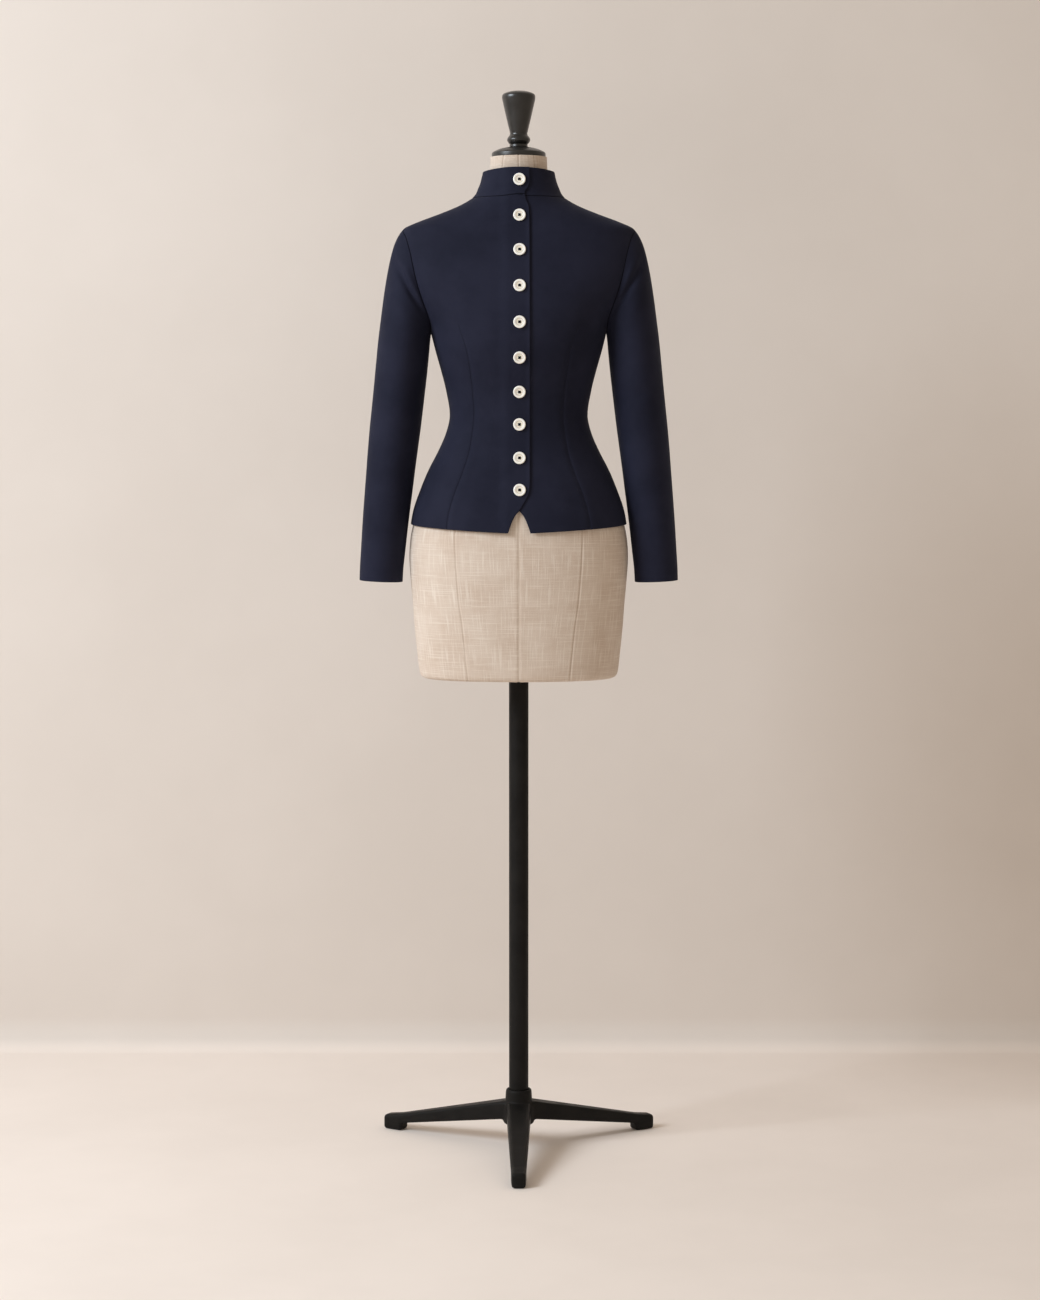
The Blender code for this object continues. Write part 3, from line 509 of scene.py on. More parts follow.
def crease_height(all_creases, x, z):
    """What all the creases together add to the cloth at one place."""
    total = 0.0
    for crease in all_creases:
        run_x, run_z = crease.x_low - crease.x_top, crease.low - crease.top
        length = math.hypot(run_x, run_z)
        off_x, off_z = x - crease.x_top, z - crease.top
        along = (off_x * run_x + off_z * run_z) / (length * length)
        if not FADE_IN[0] < along < FADE_OUT[1]:
            continue
        bow = crease.bend * length * math.sin(math.pi * min(max(along, 0.0), 1.0))
        across = (off_x * run_z - off_z * run_x) / length - bow
        fade = smooth_step(*FADE_IN, along) * (1.0 - smooth_step(*FADE_OUT, along))
        total += crease.depth * fade * math.exp(-((across / crease.width) ** 2))
    return total


# %% Creases of the torso
FRONT_CREASES = creases(
    # the swell beside each armhole, and the pull under it
    (143, 1412, 127, 1322, 1.3, 9),
    (-144, 1408, -128, 1318, 1.2, 9),
    (152, 1404, 138, 1338, -0.8, 6),
    (-151, 1400, -138, 1336, -0.9, 6),
    (118, 1376, 112, 1306, -0.5, 9),
    (-121, 1384, -113, 1312, -0.6, 8),
    # from the chest down towards the dart
    (92, 1420, 90, 1346, 0.6, 15),
    (-97, 1432, -88, 1350, 0.7, 15),
    # the waist, where the cloth is drawn in
    (105, 1238, 36, 1228, -0.4, 7),
    (-106, 1216, -44, 1226, -0.5, 8),
    (100, 1198, 52, 1190, 0.4, 8),
    (-102, 1190, -40, 1182, -0.35, 7),
    # the skirt, where it spreads over the hips
    (68, 1122, 82, 1024, 0.9, 14),
    (-58, 1132, -70, 1024, 0.8, 15),
    (126, 1112, 150, 1028, -0.8, 13),
    (-130, 1122, -157, 1030, -0.7, 12),
    (35, 1112, 40, 1030, -0.5, 11),
    (-31, 1104, -37, 1028, -0.4, 10),
    # the slope of the shoulders
    (122, 1514, 152, 1472, 0.4, 12),
    (-117, 1518, -152, 1470, 0.5, 13),
)
BACK_CREASES = creases(
    (144, 1410, 127, 1320, 1.2, 10),
    (-142, 1414, -126, 1326, 1.3, 10),
    (153, 1406, 138, 1338, -0.8, 6),
    (-152, 1402, -138, 1336, -0.8, 6),
    (98, 1444, 26, 1472, 0.5, 17),
    (-106, 1436, -22, 1464, 0.5, 16),
    (98, 1234, 10, 1224, -0.6, 8),
    (-104, 1220, -16, 1231, -0.6, 9),
    (90, 1202, 16, 1196, 0.5, 8),
    (-94, 1182, -8, 1189, -0.5, 8),
    (64, 1132, 86, 1026, 1.1, 15),
    (-57, 1126, -76, 1028, 1, 14),
    (129, 1112, 152, 1030, -0.8, 12),
    (-126, 1120, -150, 1030, -0.9, 13),
    (10, 1112, 18, 1030, -0.6, 13),
)
print("creases:", len(FRONT_CREASES), "in front,", len(BACK_CREASES), "behind")

# %% [markdown]
# ## Navy suiting
#
# The jacket is cut from a smooth, matt, fine twill. Its colour is nearly black, and what tells it apart
# from paint is the soft light that its raised fibres catch at a slant, so the shader has sheen. Sewn
# lines get painted shade in their colour, because light doesn't reach into them.

# %% Helpers for materials
def start_material(name, sockets):
    """A new material. What is the same all over the surface is set on the shader's own sockets."""
    made = bpy.data.materials.new(name)
    made.use_nodes = True
    shader = made.node_tree.nodes["Principled BSDF"]
    for socket, value in sockets.items():
        shader.inputs[socket].default_value = value
    return made, made.node_tree


def end_material(made, outputs):
    """Joins what changes over the surface to the shader."""
    shader = made.node_tree.nodes["Principled BSDF"]
    for socket, output in outputs.items():
        made.node_tree.links.new(output, shader.inputs[socket])
    return made


def object_place(tree):
    return add(tree, "ShaderNodeTexCoord").outputs["Object"]


def attribute(tree, name):
    return add(tree, "ShaderNodeAttribute", attribute_name=name).outputs["Fac"]


def mottled(tree, size):
    return use_pattern(tree, soft_mottle, {"Place": object_place(tree), "Size": size})["Mask"]


def sewn(tree, distance, width):
    return use_pattern(tree, sewn_line, {"Distance": distance, "Width": width})["Mask"]


def woven(tree, pitch, twill, slub):
    grain = add(tree, "ShaderNodeUVMap", uv_map="grain").outputs[0]
    return use_pattern(tree, woven_ground, {"Cloth": grain, "Pitch": pitch, "Twill": twill, "Slub": slub})


def bumped(tree, height, strength, distance, under=None):
    inputs = {"Height": height, "Strength": strength, "Distance": distance}
    if under:
        inputs["Normal"] = under
    return add(tree, "ShaderNodeBump", inputs).outputs[0]


# %% Navy suiting
NAVY_LIT = (0.0160, 0.0174, 0.0340, 1.0)
NAVY_DEEP = (0.0108, 0.0121, 0.0248, 1.0)
# painted shade: the near-black colour of the seams and sewn lines
NAVY_SEAM_SHADE = (0.0030, 0.0033, 0.0070, 1.0)
NAVY_SHADER = {
    "Roughness": 0.78,
    "Specular IOR Level": 0.10,
    "Sheen Weight": 0.05,
    "Sheen Roughness": 0.42,
    "Sheen Tint": (0.52, 0.55, 0.78, 1.0),
}
TWILL_PITCH, SEWN_WIDTH = 0.0006, 0.0012  # metres
# painted shade: how strongly a row of stitches is darkened, next to a seam's full painted shade
STITCH_SHADE_SHARE = 0.28  # a row of stitches is fainter than a seam


def navy_suiting():
    made, tree = start_material("navy_suiting", NAVY_SHADER)
    # painted shade: the colour darkens to near black along the seams and the sewn lines, where shade falls
    # in them
    seam_shade_mask = sewn(tree, attribute(tree, "seam_distance"), SEWN_WIDTH)
    on_line = sewn(tree, attribute(tree, "line_distance"), SEWN_WIDTH)
    dark = calculate(tree, "MAXIMUM", seam_shade_mask, times(tree, on_line, STITCH_SHADE_SHARE))
    ground = tinted(tree, mottled(tree, 0.09), NAVY_DEEP, NAVY_LIT)
    threads = bumped(tree, woven(tree, TWILL_PITCH, 1.0, 0.2)["Height"], 0.25, 0.0001)
    sunk = bumped(tree, times(tree, on_line, -1.0), 0.6, 0.0006, threads)
    return end_material(made, {"Base Color": tinted(tree, dark, ground, NAVY_SEAM_SHADE), "Normal": sunk})


navy = navy_suiting()

# %% [markdown]
# ## The fronts
#
# The wearer's right front laps over the left one. Its edge runs straight down beside the buttons, has a
# small nick where the collar is sewn on, and swings away at the hem, so that the two fronts leave a
# pointed notch. A dart on each side takes the cloth in at the waist. Level rows of points run from the
# edge over the dart to the side seam, the armhole or the shoulder seam.

# %% The edge of the lap
LAP_EDGE = table(
    "height offset",
    (1020, -18),
    (1039, -11.5),
    (1050, -6),
    (1058, 0.5),
    (1068, 6.5),
    (1076, 11),
    (1088, 15.4),
    (1106, 16.8),
    (1493, 16.8),
    (1540, 15),
    (1551, 10.4),
    (1558, 9),
    (1563, 9.6),
    (1570, 13),
    (1580, 16),
    (1604, 15.4),
)
LOWER_EDGE_TOP = 1092.0
LAP_CENTRE, LAP_HALF, LAP_RAMP = 1.0, 16.0, 18.0
LAP_RISE, LAP_LIP, LAP_LIP_FROM = 2.3, 0.9, 11.0  # the edge itself curls up a little more


def lap_edge_x(height, is_upper):
    """The x of a front's own edge, counted towards that front's own side."""
    over = between(LAP_EDGE, height).offset
    if is_upper:
        return -LAP_CENTRE - over
    if height >= LOWER_EDGE_TOP:
        return LAP_CENTRE - LAP_HALF
    return LAP_CENTRE - over


def lap_rise(x):
    """How far the upper layer stands over the lower one."""
    start = LAP_CENTRE - LAP_HALF - LAP_RAMP
    lip = LAP_LIP * smooth_step(LAP_LIP_FROM, LAP_CENTRE + LAP_HALF, x)
    return LAP_RISE * smooth_step(start, start + LAP_RAMP, x) + lip


print("the upper edge stands", LAP_CENTRE + between(LAP_EDGE, 1300).offset, "mm left of the middle")

# %% The dip at the hem, and the pull at the neck
HEM_DIP, HEM_DIP_POWER, HEM_DIP_FADE = 12.0, 0.7, 150.0
NECK_PULL = 2.6  # how far the neck seam is drawn up where the upper edge ends
NECK_PULL_REACH, NECK_PULL_FROM, NECK_PULL_FULL = 10.0, -26.0, 6.0


def dipped(height, angle):
    """The fronts dip towards the middle at the hem, and the rows above follow, less and less."""
    if math.cos(angle) <= 0.0 or height > HEM + HEM_DIP_FADE:
        return height
    share = abs(torso_point(height, angle).x) / torso_section(height).half_width
    dip = HEM_DIP * max(1.0 - share, 0.0) ** HEM_DIP_POWER
    return height - dip * (1.0 - smooth_step(HEM, HEM + HEM_DIP_FADE, height))


def drawn_up(x, height):
    """Near the upper edge the neck seam is drawn up a little, and the cloth round it follows."""
    near_neck = math.exp(-(((height - NECKLINE) / NECK_PULL_REACH) ** 2))
    return NECK_PULL * smooth_step(NECK_PULL_FROM, NECK_PULL_FULL, x) * near_neck


# %% The dart
DART_DEPTH, DART_FOLD, DART_SWELL = 0.65, 2.4, 0.35
DART_SWELL_FROM, DART_SWELL_WIDTH = 8.0, 6.0
DARTS_END, DARTS_FADE = 1354.0, 60.0


@lru_cache(maxsize=None)
def dart_angle(height):
    s = torso_section(height)
    return angle_at(s.half_width, s.squareness, s.dart_share * s.half_width)


def dart_relief(place, height):
    """The height of the cloth near the dart, and how far the place is from the dart's line."""
    away = abs(place.x) - torso_point(height, dart_angle(height)).x
    fade = 1.0 - smooth_step(DARTS_END - DARTS_FADE, DARTS_END, height)
    fold = DART_DEPTH * math.exp(-((away / DART_FOLD) ** 2))
    swell = DART_SWELL * math.exp(-(((abs(away) - DART_SWELL_FROM) / DART_SWELL_WIDTH) ** 2))
    return (swell - fold) * fade, away


# %% The rows of the torso
Row = namedtuple("Row", "height armhole_step")
ARMHOLE_STEPS = 72
SHOULDER_STEP = 2.6


def armhole_height(step):
    return ARMPIT + (SHOULDER_TIP - ARMPIT) * (1.0 - math.cos(math.pi * step / ARMHOLE_STEPS)) / 2.0


@lru_cache(maxsize=None)
def armhole_angle(step, is_front):
    """Where the armhole seam crosses its row."""
    s = torso_section(armhole_height(step))
    half_depth = ARMHOLE_HALF_DEPTH * math.sin(math.pi * step / ARMHOLE_STEPS)
    share = half_depth / (s.front if is_front else s.back)
    angle = math.acos(min(share ** (s.squareness / 2.0), 1.0))
    return angle if is_front else math.pi - angle


def torso_rows():
    below = graded(ARMPIT - HEM, fine_end=False)
    above = graded(NECKLINE - SHOULDER_TIP, coarse=SHOULDER_STEP, fine_start=False)
    rows = [Row(HEM + (ARMPIT - HEM) * share, None) for share in below[:-1]]
    rows += [Row(armhole_height(step), step) for step in range(ARMHOLE_STEPS + 1)]
    rows += [Row(SHOULDER_TIP + (NECKLINE - SHOULDER_TIP) * share, None) for share in above[1:]]
    return rows


def outer_angle(row, is_front):
    """The angle of a panel's outer column: at the side seam, the armhole or the shoulder seam."""
    if row.armhole_step is None:
        return math.pi / 2.0
    return armhole_angle(row.armhole_step, is_front)


ROWS = torso_rows()
print("rows in a torso panel:", len(ROWS))

# %% Make a front
EDGE_TO_DART, DART_TO_SIDE = 112.0, 105.0  # about how wide the two parts of a front are
SEAM_HOLD = 12.0  # a seam holds its two pieces together, so no crease lifts them within this distance of it
PLACKET_STITCH = 13.0  # from the middle back to the row of stitches along the placket
PLACKET_FAINTNESS = 0.75  # the stitches are small, so their line never reads as nearer than this
DART_LINE_HALF = 1.1  # a dart shows as a fold with a row of stitches close to it
PLACKET_COLUMNS = 0.6  # how far over a front's first part the placket's stitches are looked for
FOLD_RADIUS, SEAM_RADIUS = 0.9, 1.3


def front_columns():
    first = graded(EDGE_TO_DART)
    second = graded(DART_TO_SIDE)
    return first + [1.0 + share for share in second[1:]]


def front_place(column, row, is_upper):
    """A point on a front's own side. Columns 0 to 1 run from edge to dart, and 1 to 2 on to the seam."""
    section = torso_section(row.height)
    edge = angle_at(section.half_width, section.squareness, lap_edge_x(dipped(row.height, 0.0), is_upper))
    dart = dart_angle(row.height)
    if column <= 1.0:
        angle = edge + (dart - edge) * column
    else:
        angle = dart + (outer_angle(row, True) - dart) * (column - 1.0)
    point = torso_point(dipped(row.height, angle), angle)
    if is_upper:
        point.z += drawn_up(-point.x, row.height)
    return point


def front_flat(column, row):
    return (EDGE_TO_DART * min(column, 1.0) + DART_TO_SIDE * max(column - 1.0, 0.0), row.height)


def front_panel(name, side, is_upper):
    def place_of(column, row):
        return front_place(column, row, is_upper)

    cloth = ClothPiece(name, front_columns(), ROWS, place_of, front_flat, side)
    for point, (_, _, column, row) in cloth.cells.items():
        place = from_axis(point.co)
        if row.height < DARTS_END:
            point[cloth.line] = (dart_relief(place, row.height)[1] - DART_LINE_HALF) * MM
        if is_upper and column < PLACKET_COLUMNS:
            point[cloth.line] = math.hypot(place.x + PLACKET_STITCH, PLACKET_FAINTNESS) * MM
    last, top = cloth.last_column, cloth.last_row

    def relief(place, column, row):
        rise = lap_rise(place.x) if is_upper else 0.0
        free = smooth_step(0.0, SEAM_HOLD, (2.0 - column) * DART_TO_SIDE)
        folds = crease_height(FRONT_CREASES, place.x, place.z) * free
        return rise + dart_relief(place, row.height)[0] + folds

    cloth.lift(relief)
    cloth.roll(lambda c, r: c == 0 or r == 0, FOLD_RADIUS, is_seam=False)
    cloth.roll(lambda c, r: c == last or r == top, SEAM_RADIUS, is_seam=True)
    return cloth.finish(navy, "navy_cloth", CLOTH)


front_right = front_panel("jacket_front_right", WEARERS_RIGHT, True)
front_left = front_panel("jacket_front_left", WEARERS_LEFT, False)
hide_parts("front_right")
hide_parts("front_left")

# %% [markdown]
# ## The back
#
# The back is one piece from side seam to side seam, with a dart on each side of the middle. It shares its
# rows with the fronts, so the seams meet point to point. Its columns are finest at the seams and at the
# two darts.

# %% Make the back
BACK_SIDE, BACK_MIDDLE = 105.0, 95.0


def back_columns():
    """Columns 0 to 4: left seam, left dart, middle, right dart, right seam."""
    lengths = (BACK_SIDE, BACK_MIDDLE, BACK_MIDDLE, BACK_SIDE)
    columns = [0.0]
    for n, length in enumerate(lengths):
        shares = graded(length, fine_start=n != 2, fine_end=n != 1)
        columns += [n + share for share in shares[1:]]
    return columns


def back_place(column, row):
    outer, dart = outer_angle(row, False), math.pi - dart_angle(row.height)
    turns = (outer, dart, math.pi, math.tau - dart, math.tau - outer)
    n = min(int(column), 3)
    return torso_point(row.height, turns[n] + (turns[n + 1] - turns[n]) * (column - n))


def back_flat(column, row):
    return (column * (BACK_SIDE + BACK_MIDDLE) / 2.0, row.height)


def back_panel():
    cloth = ClothPiece("jacket_back", back_columns(), ROWS, back_place, back_flat)
    for point, (_, _, column, row) in cloth.cells.items():
        if row.height < DARTS_END:
            point[cloth.line] = (dart_relief(from_axis(point.co), row.height)[1] - DART_LINE_HALF) * MM
    last, top = cloth.last_column, cloth.last_row

    def relief(place, column, row):
        free = smooth_step(0.0, SEAM_HOLD, min(column, 4.0 - column) * BACK_SIDE)
        return dart_relief(place, row.height)[0] + crease_height(BACK_CREASES, place.x, place.z) * free

    cloth.lift(relief)
    cloth.roll(lambda c, r: r == 0, FOLD_RADIUS, is_seam=False)
    cloth.roll(lambda c, r: c in (0, last) or r == top, SEAM_RADIUS, is_seam=True)
    return cloth.finish(navy, "navy_cloth", CLOTH)


back = back_panel()
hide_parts("back_panel")

# %% [markdown]
# ## The sleeves
#
# A set-in sleeve is a tube whose top follows the armhole and leans outwards, and whose lower half hangs
# straight. Its rings are given by their outer and inner points. The first rings keep the armhole's own
# curved outline, which fades away down the sleeve. A long soft crease drops from the armhole towards the
# armpit, as on any jacket whose sleeve hangs down, and the hidden side has one like it.

# %% The sleeve's rings
SLEEVE_RINGS = table(
    "station outer_x outer_z inner_x inner_z half_depth",
    (0, 186, 1509, 141.8, 1341, 54),
    (1, 194, 1498, 142.3, 1339, 55),
    (2, 201.5, 1481.5, 142.7, 1336.5, 56),
    (3, 208, 1458, 143.1, 1333, 57),
    (4, 213.8, 1429.5, 143.6, 1328.5, 57.5),
    (5, 218.8, 1398, 144.2, 1322, 58),
    (6, 223.3, 1364.5, 145, 1312, 58),
    (7, 227.8, 1329, 146.4, 1297.5, 57.5),
    (8, 231.5, 1292.5, 148.6, 1276, 56),
    (9, 235.1, 1255.5, 151.6, 1250.5, 54),
    (10, 238.7, 1221, 155.1, 1221, 52),
    (11, 242.2, 1188, 159.2, 1188, 50),
    (12, 245.1, 1155.5, 163.7, 1155.5, 48),
    (13, 247.7, 1122.5, 168.2, 1122.5, 46),
    (14, 250.3, 1089.5, 172.4, 1089.5, 44),
    (15, 252.9, 1056.5, 176.8, 1056.5, 42.5),
    (16, 255.3, 1022.5, 181, 1022.5, 40.8),
    (17, 257.4, 988.5, 185, 987.5, 39.2),
    (18, 259, 963.5, 188, 961.5, 38),
    (19, 259.8, 941.5, 189.4, 938.5, 37),
)
CUFF_STATION = SLEEVE_RINGS[-1].station
ARMHOLE_SHAPE_FADES_BY = 6.0  # the station at which the sleeve has lost the armhole's own outline
SEAM_ALLOWANCE = 4.0  # the turned-in edge inside the armhole, so that nothing shows through the seam
SLEEVE_LENGTH, SLEEVE_ROUND = 600.0, 330.0
SLEEVE_TOP_FREE = 1.5  # the station from which the creases are full


@lru_cache(maxsize=None)
def sleeve_ring(station):
    return between(SLEEVE_RINGS, station)


def ring_point(station, turn):
    """The turn runs from the ring's inner point over the front to the outer point, and on over the back."""
    ring = sleeve_ring(station)
    share = (1.0 - math.cos(turn)) / 2.0
    x = ring.inner_x + (ring.outer_x - ring.inner_x) * share
    z = ring.inner_z + (ring.outer_z - ring.inner_z) * share
    return Vector((x, -ring.half_depth * math.sin(turn), z))


@lru_cache(maxsize=None)
def armhole_offset(step):
    """How far the armhole seam lies from a plain ring, at one step of the way round."""
    is_front = step <= ARMHOLE_STEPS
    own_step = step if is_front else 2 * ARMHOLE_STEPS - step
    seam = torso_point(armhole_height(own_step), armhole_angle(own_step, is_front))
    return seam - ring_point(0.0, math.pi * step / ARMHOLE_STEPS)


def sleeve_place(step, station):
    if station < 0.0:
        return sleeve_place(step, 0.0) + Vector((-SEAM_ALLOWANCE, 0.0, 0.0))
    fade = 1.0 - smooth_step(0.0, ARMHOLE_SHAPE_FADES_BY, station)
    return ring_point(station, math.pi * step / ARMHOLE_STEPS) + armhole_offset(step) * fade


print("sleeve rings:", len(SLEEVE_RINGS))

# %% The sleeve's creases
SLEEVE_FRONT_CREASES = creases(
    # the drag that falls from the armhole to the armpit, and the ridges beside it
    (199, 1454, 153, 1376, -5, 5.4, -0.02),
    (184, 1450, 143, 1378, 1.9, 7.5, -0.02),
    (214, 1446, 172, 1356, 1.2, 11, -0.02),
    # the soft breaks of a sleeve with no arm in it
    (158, 1330, 186, 1262, -0.9, 12),
    (228, 1262, 176, 1226, -0.9, 11),
    (222, 1236, 170, 1204, 0.7, 12),
    (172, 1172, 214, 1120, 0.7, 14),
    (240, 1130, 204, 1052, -0.7, 15),
    (196, 1060, 206, 968, 0.6, 13),
)
SLEEVE_BACK_CREASES = creases(
    (197, 1450, 154, 1370, -3, 7, -0.02),
    (180, 1444, 144, 1376, 1.6, 8, -0.02),
    (226, 1290, 172, 1238, -1.4, 10),
    (230, 1262, 176, 1216, 1.1, 10),
    (228, 1232, 182, 1190, -1.1, 11),
    (176, 1150, 222, 1088, 0.8, 15),
    (238, 1080, 206, 990, -0.7, 14),
)
SLEEVE_UNEVENNESS = 0.85  # the wearer's right sleeve has slightly softer creases
FACE_FROM, FACE_FULL = 0.25, 0.8  # a crease belongs to the front or the back face, not to the sides


def sleeve_relief(place, strength):
    x, depth = abs(place.x), place.y / ARMHOLE_HALF_DEPTH
    on_face = SLEEVE_FRONT_CREASES if depth < 0.0 else SLEEVE_BACK_CREASES
    return crease_height(on_face, x, place.z) * smooth_step(FACE_FROM, FACE_FULL, abs(depth)) * strength


# %% Make the sleeves
def sleeve_flat(step, station):
    down = 1.0 - max(station, 0.0) / CUFF_STATION
    return (SLEEVE_ROUND * step / (2 * ARMHOLE_STEPS), SLEEVE_LENGTH * down)


def sleeve(name, side, strength):
    steps = list(range(2 * ARMHOLE_STEPS + 1))
    stations = [CUFF_STATION * (1.0 - share) for share in graded(SLEEVE_LENGTH)] + [-1.0]
    cloth = ClothPiece(name, steps, stations, sleeve_place, sleeve_flat, side, closed_round=True)
    seam_row = cloth.last_row - 1

    def relief(place, step, station):
        return sleeve_relief(place, strength) * smooth_step(0.0, SLEEVE_TOP_FREE, station)

    cloth.lift(relief)
    cloth.roll(lambda c, r: r == 0, FOLD_RADIUS, is_seam=False)
    cloth.roll(lambda c, r: r == seam_row, SEAM_RADIUS, is_seam=True)
    return cloth.finish(navy, "navy_cloth", CLOTH)


sleeve_left = sleeve("jacket_sleeve_left", WEARERS_LEFT, 1.0)
sleeve_right = sleeve("jacket_sleeve_right", WEARERS_RIGHT, SLEEVE_UNEVENNESS)
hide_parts("sleeve_left")
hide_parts("sleeve_right")

# %% [markdown]
# ## The stand collar
#
# The collar is one band, cut double, that starts under the lap, goes round by the wearer's left and the
# back, and ends on top of itself in front. It leans in towards the neck. Where it is sewn on beside the
# upper edge the cloth is drawn up, and makes a few short level creases under the first button.

# %% The collar's bands
COLLAR_BANDS = table(
    "height half_width front back",
    (1558, 75, 63.5, 67.5),
    (1565, 69.3, 61, 63),
    (1573, 65.8, 59.5, 61),
    (1583, 61.8, 58, 59.5),
    (1592, 59.4, 56.5, 58),
    (1600, 57.8, 56, 57.5),
)
COLLAR_FRONT_LIFT, COLLAR_SQUARENESS = 4.0, 2.05
COLLAR_CLOTH = 1.8
COLLAR_ROUND, COLLAR_HIGH = 400.0, 46.0
COLLAR_STEP_ROUND, COLLAR_STEP_UP = 2.6, 1.6
COLLAR_CREASES = creases(
    (-8, 1575, 17, 1572, -0.7, 1.9),
    (-2, 1570, 18, 1567, 0.6, 1.6),
    (-10, 1566, 15, 1563, -0.6, 1.8),
    (-38, 1574, -12, 1569, -0.4, 3),
    (-60, 1590, -30, 1578, 0.4, 5),
    (34, 1592, 58, 1580, 0.4, 5),
)


def collar_level(share):
    return NECKLINE + (COLLAR_BANDS[-1].height - NECKLINE) * share


def collar_point(share, angle):
    """A point of the collar: the share runs from the neck seam to the top edge."""
    level = collar_level(share)
    band = between(COLLAR_BANDS, level)
    lift = COLLAR_FRONT_LIFT * share * max(math.cos(angle), 0.0) ** 2
    return loop_point(band.half_width, band.front, band.back, COLLAR_SQUARENESS, angle, level + lift)


def collar_place(column, share):
    """Columns run from 0 at the end underneath, all the way round, to 1 at the end on top."""
    height = collar_level(share) + COLLAR_FRONT_LIFT * share
    half_width = between(COLLAR_BANDS, collar_level(share)).half_width
    start = angle_at(half_width, COLLAR_SQUARENESS, lap_edge_x(height, False))
    end = math.tau - angle_at(half_width, COLLAR_SQUARENESS, lap_edge_x(height, True))
    angle = start + (end - start) * column
    point = collar_point(share, angle)
    if angle > 1.5 * math.pi:
        point.z += drawn_up(point.x, collar_level(share))
    return point


# %% Make the collar
def collar_flat(column, share):
    return (COLLAR_ROUND * column, COLLAR_HIGH * share)


def collar():
    columns, rows = graded(COLLAR_ROUND, COLLAR_STEP_ROUND), graded(COLLAR_HIGH, COLLAR_STEP_UP)
    cloth = ClothPiece("jacket_collar", columns, rows, collar_place, collar_flat)
    last, top = cloth.last_column, cloth.last_row

    def relief(place, column, share):
        if place.y > 0.0 or column < 0.5:
            return 0.0
        return lap_rise(place.x) + crease_height(COLLAR_CREASES, place.x, place.z)

    cloth.lift(relief)
    cloth.roll(lambda c, r: r == top or c in (0, last), FOLD_RADIUS, is_seam=False)
    cloth.roll(lambda c, r: r == 0, SEAM_RADIUS, is_seam=True)
    return cloth.finish(navy, "navy_cloth", COLLAR_CLOTH)


stand_collar = collar()
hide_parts("collar")

# %% [markdown]
# ## Turned shapes
#
# Buttons, the cap, the handle and the tube are all turned. Each has half an outline from the top down its
# outer side, whose corners have their own rounding, as a maker would draw it. The spin operator takes the
# outline once round.

# %% Spin an outline
CORNERS = "radius height rounding"
ROUND_STEPS = 6
TURN_STEPS = 72
TURNED_SAME_POINT = 0.002  # mm


def rounded(corners):
    """The outline with each corner drawn as a small curve."""
    points = [Vector(corners[0][:2])]
    for before, corner, after in zip(corners, corners[1:], corners[2:]):
        here = Vector(corner[:2])
        back, ahead = Vector(before[:2]) - here, Vector(after[:2]) - here
        start = here + back.normalized() * min(corner.rounding, back.length / 2.0)
        end = here + ahead.normalized() * min(corner.rounding, ahead.length / 2.0)
        for step in range(ROUND_STEPS + 1 if corner.rounding else 1):
            share = step / ROUND_STEPS
            points.append(start.lerp(here, share).lerp(here.lerp(end, share), share))
    points.append(Vector(corners[-1][:2]))
    return points


def spun(corners):
    """A closed turned mesh round the Z axis, in millimetres."""
    mesh = bmesh.new()
    outline = [mesh.verts.new((p.x, 0.0, p.y)) for p in rounded(corners)]
    edges = [mesh.edges.new(pair) for pair in zip(outline, outline[1:])]
    around = {"axis": (0, 0, 1), "cent": (0, 0, 0), "angle": math.tau, "use_merge": True}
    bmesh.ops.spin(mesh, geom=outline + edges, steps=TURN_STEPS, **around)
    bmesh.ops.remove_doubles(mesh, verts=mesh.verts, dist=TURNED_SAME_POINT)
    bmesh.ops.recalc_face_normals(mesh, faces=mesh.faces)
    return mesh


def put_on_axis(mesh, height):
    """Moves a millimetre mesh to its height on the pole's axis."""
    bmesh.ops.scale(mesh, vec=(MM, MM, MM), verts=mesh.verts)
    bmesh.ops.translate(mesh, vec=AXIS + Vector((0.0, 0.0, height * MM)), verts=mesh.verts)
    return mesh


# %% [markdown]
# ## Buttons
#
# Each button is polished and cream, 20 mm across, with a raised rim, a fine turned line inside it and a
# shallow dish with four holes. The holes are bored with a Boolean, which is how a maker bores them. Dark
# thread fills the middle: seven close strands that arch over it side by side, and go down on both sides
# into the cloth.

# %% Polished button material
BUTTON_WHITE = (0.96, 0.94, 0.88, 1.0)
BUTTON_CREAM = (0.88, 0.82, 0.69, 1.0)
# painted shade for the fine turned groove
BUTTON_GROOVE_SHADE = (0.42, 0.38, 0.32, 1.0)
DISH_FROM, DISH_TO, TURNED_LINE = 0.0050, 0.0064, 0.00585  # metres from the button's middle
TURNED_LINE_WIDTH = 0.0007


BUTTON_SHADER = {
    "Roughness": 0.28,
    "Coat Weight": 0.25,
    "Coat Roughness": 0.15,
    "Subsurface Weight": 0.08,
    "Subsurface Radius": (0.0016, 0.0012, 0.0008),
}
THREAD_DARK, THREAD_LIT = (0.004, 0.004, 0.006, 1.0), (0.012, 0.012, 0.016, 1.0)


def polished_button():
    made, tree = start_material("polished_button", BUTTON_SHADER)
    out = attribute(tree, "from_middle")
    in_dish = ranged(tree, out, DISH_FROM, DISH_TO, 1.0, 0.0)
    uneven = ranged(tree, mottled(tree, 0.011), 0.0, 1.0, 0.4, 1.0)
    ground = tinted(tree, times(tree, in_dish, uneven), BUTTON_WHITE, BUTTON_CREAM)
    # painted shade: the turned groove is darkened in colour, where shade falls in it
    groove = sewn(tree, calculate(tree, "SUBTRACT", out, TURNED_LINE), TURNED_LINE_WIDTH)
    return end_material(made, {"Base Color": tinted(tree, times(tree, groove, 0.6), ground, BUTTON_GROOVE_SHADE)})


def sewing_thread():
    made, tree = start_material("sewing_thread", {"Roughness": 0.8, "Specular IOR Level": 0.15})
    return end_material(made, {"Base Color": tinted(tree, mottled(tree, 0.0008), THREAD_DARK, THREAD_LIT)})


button_finish = polished_button()
thread_finish = sewing_thread()

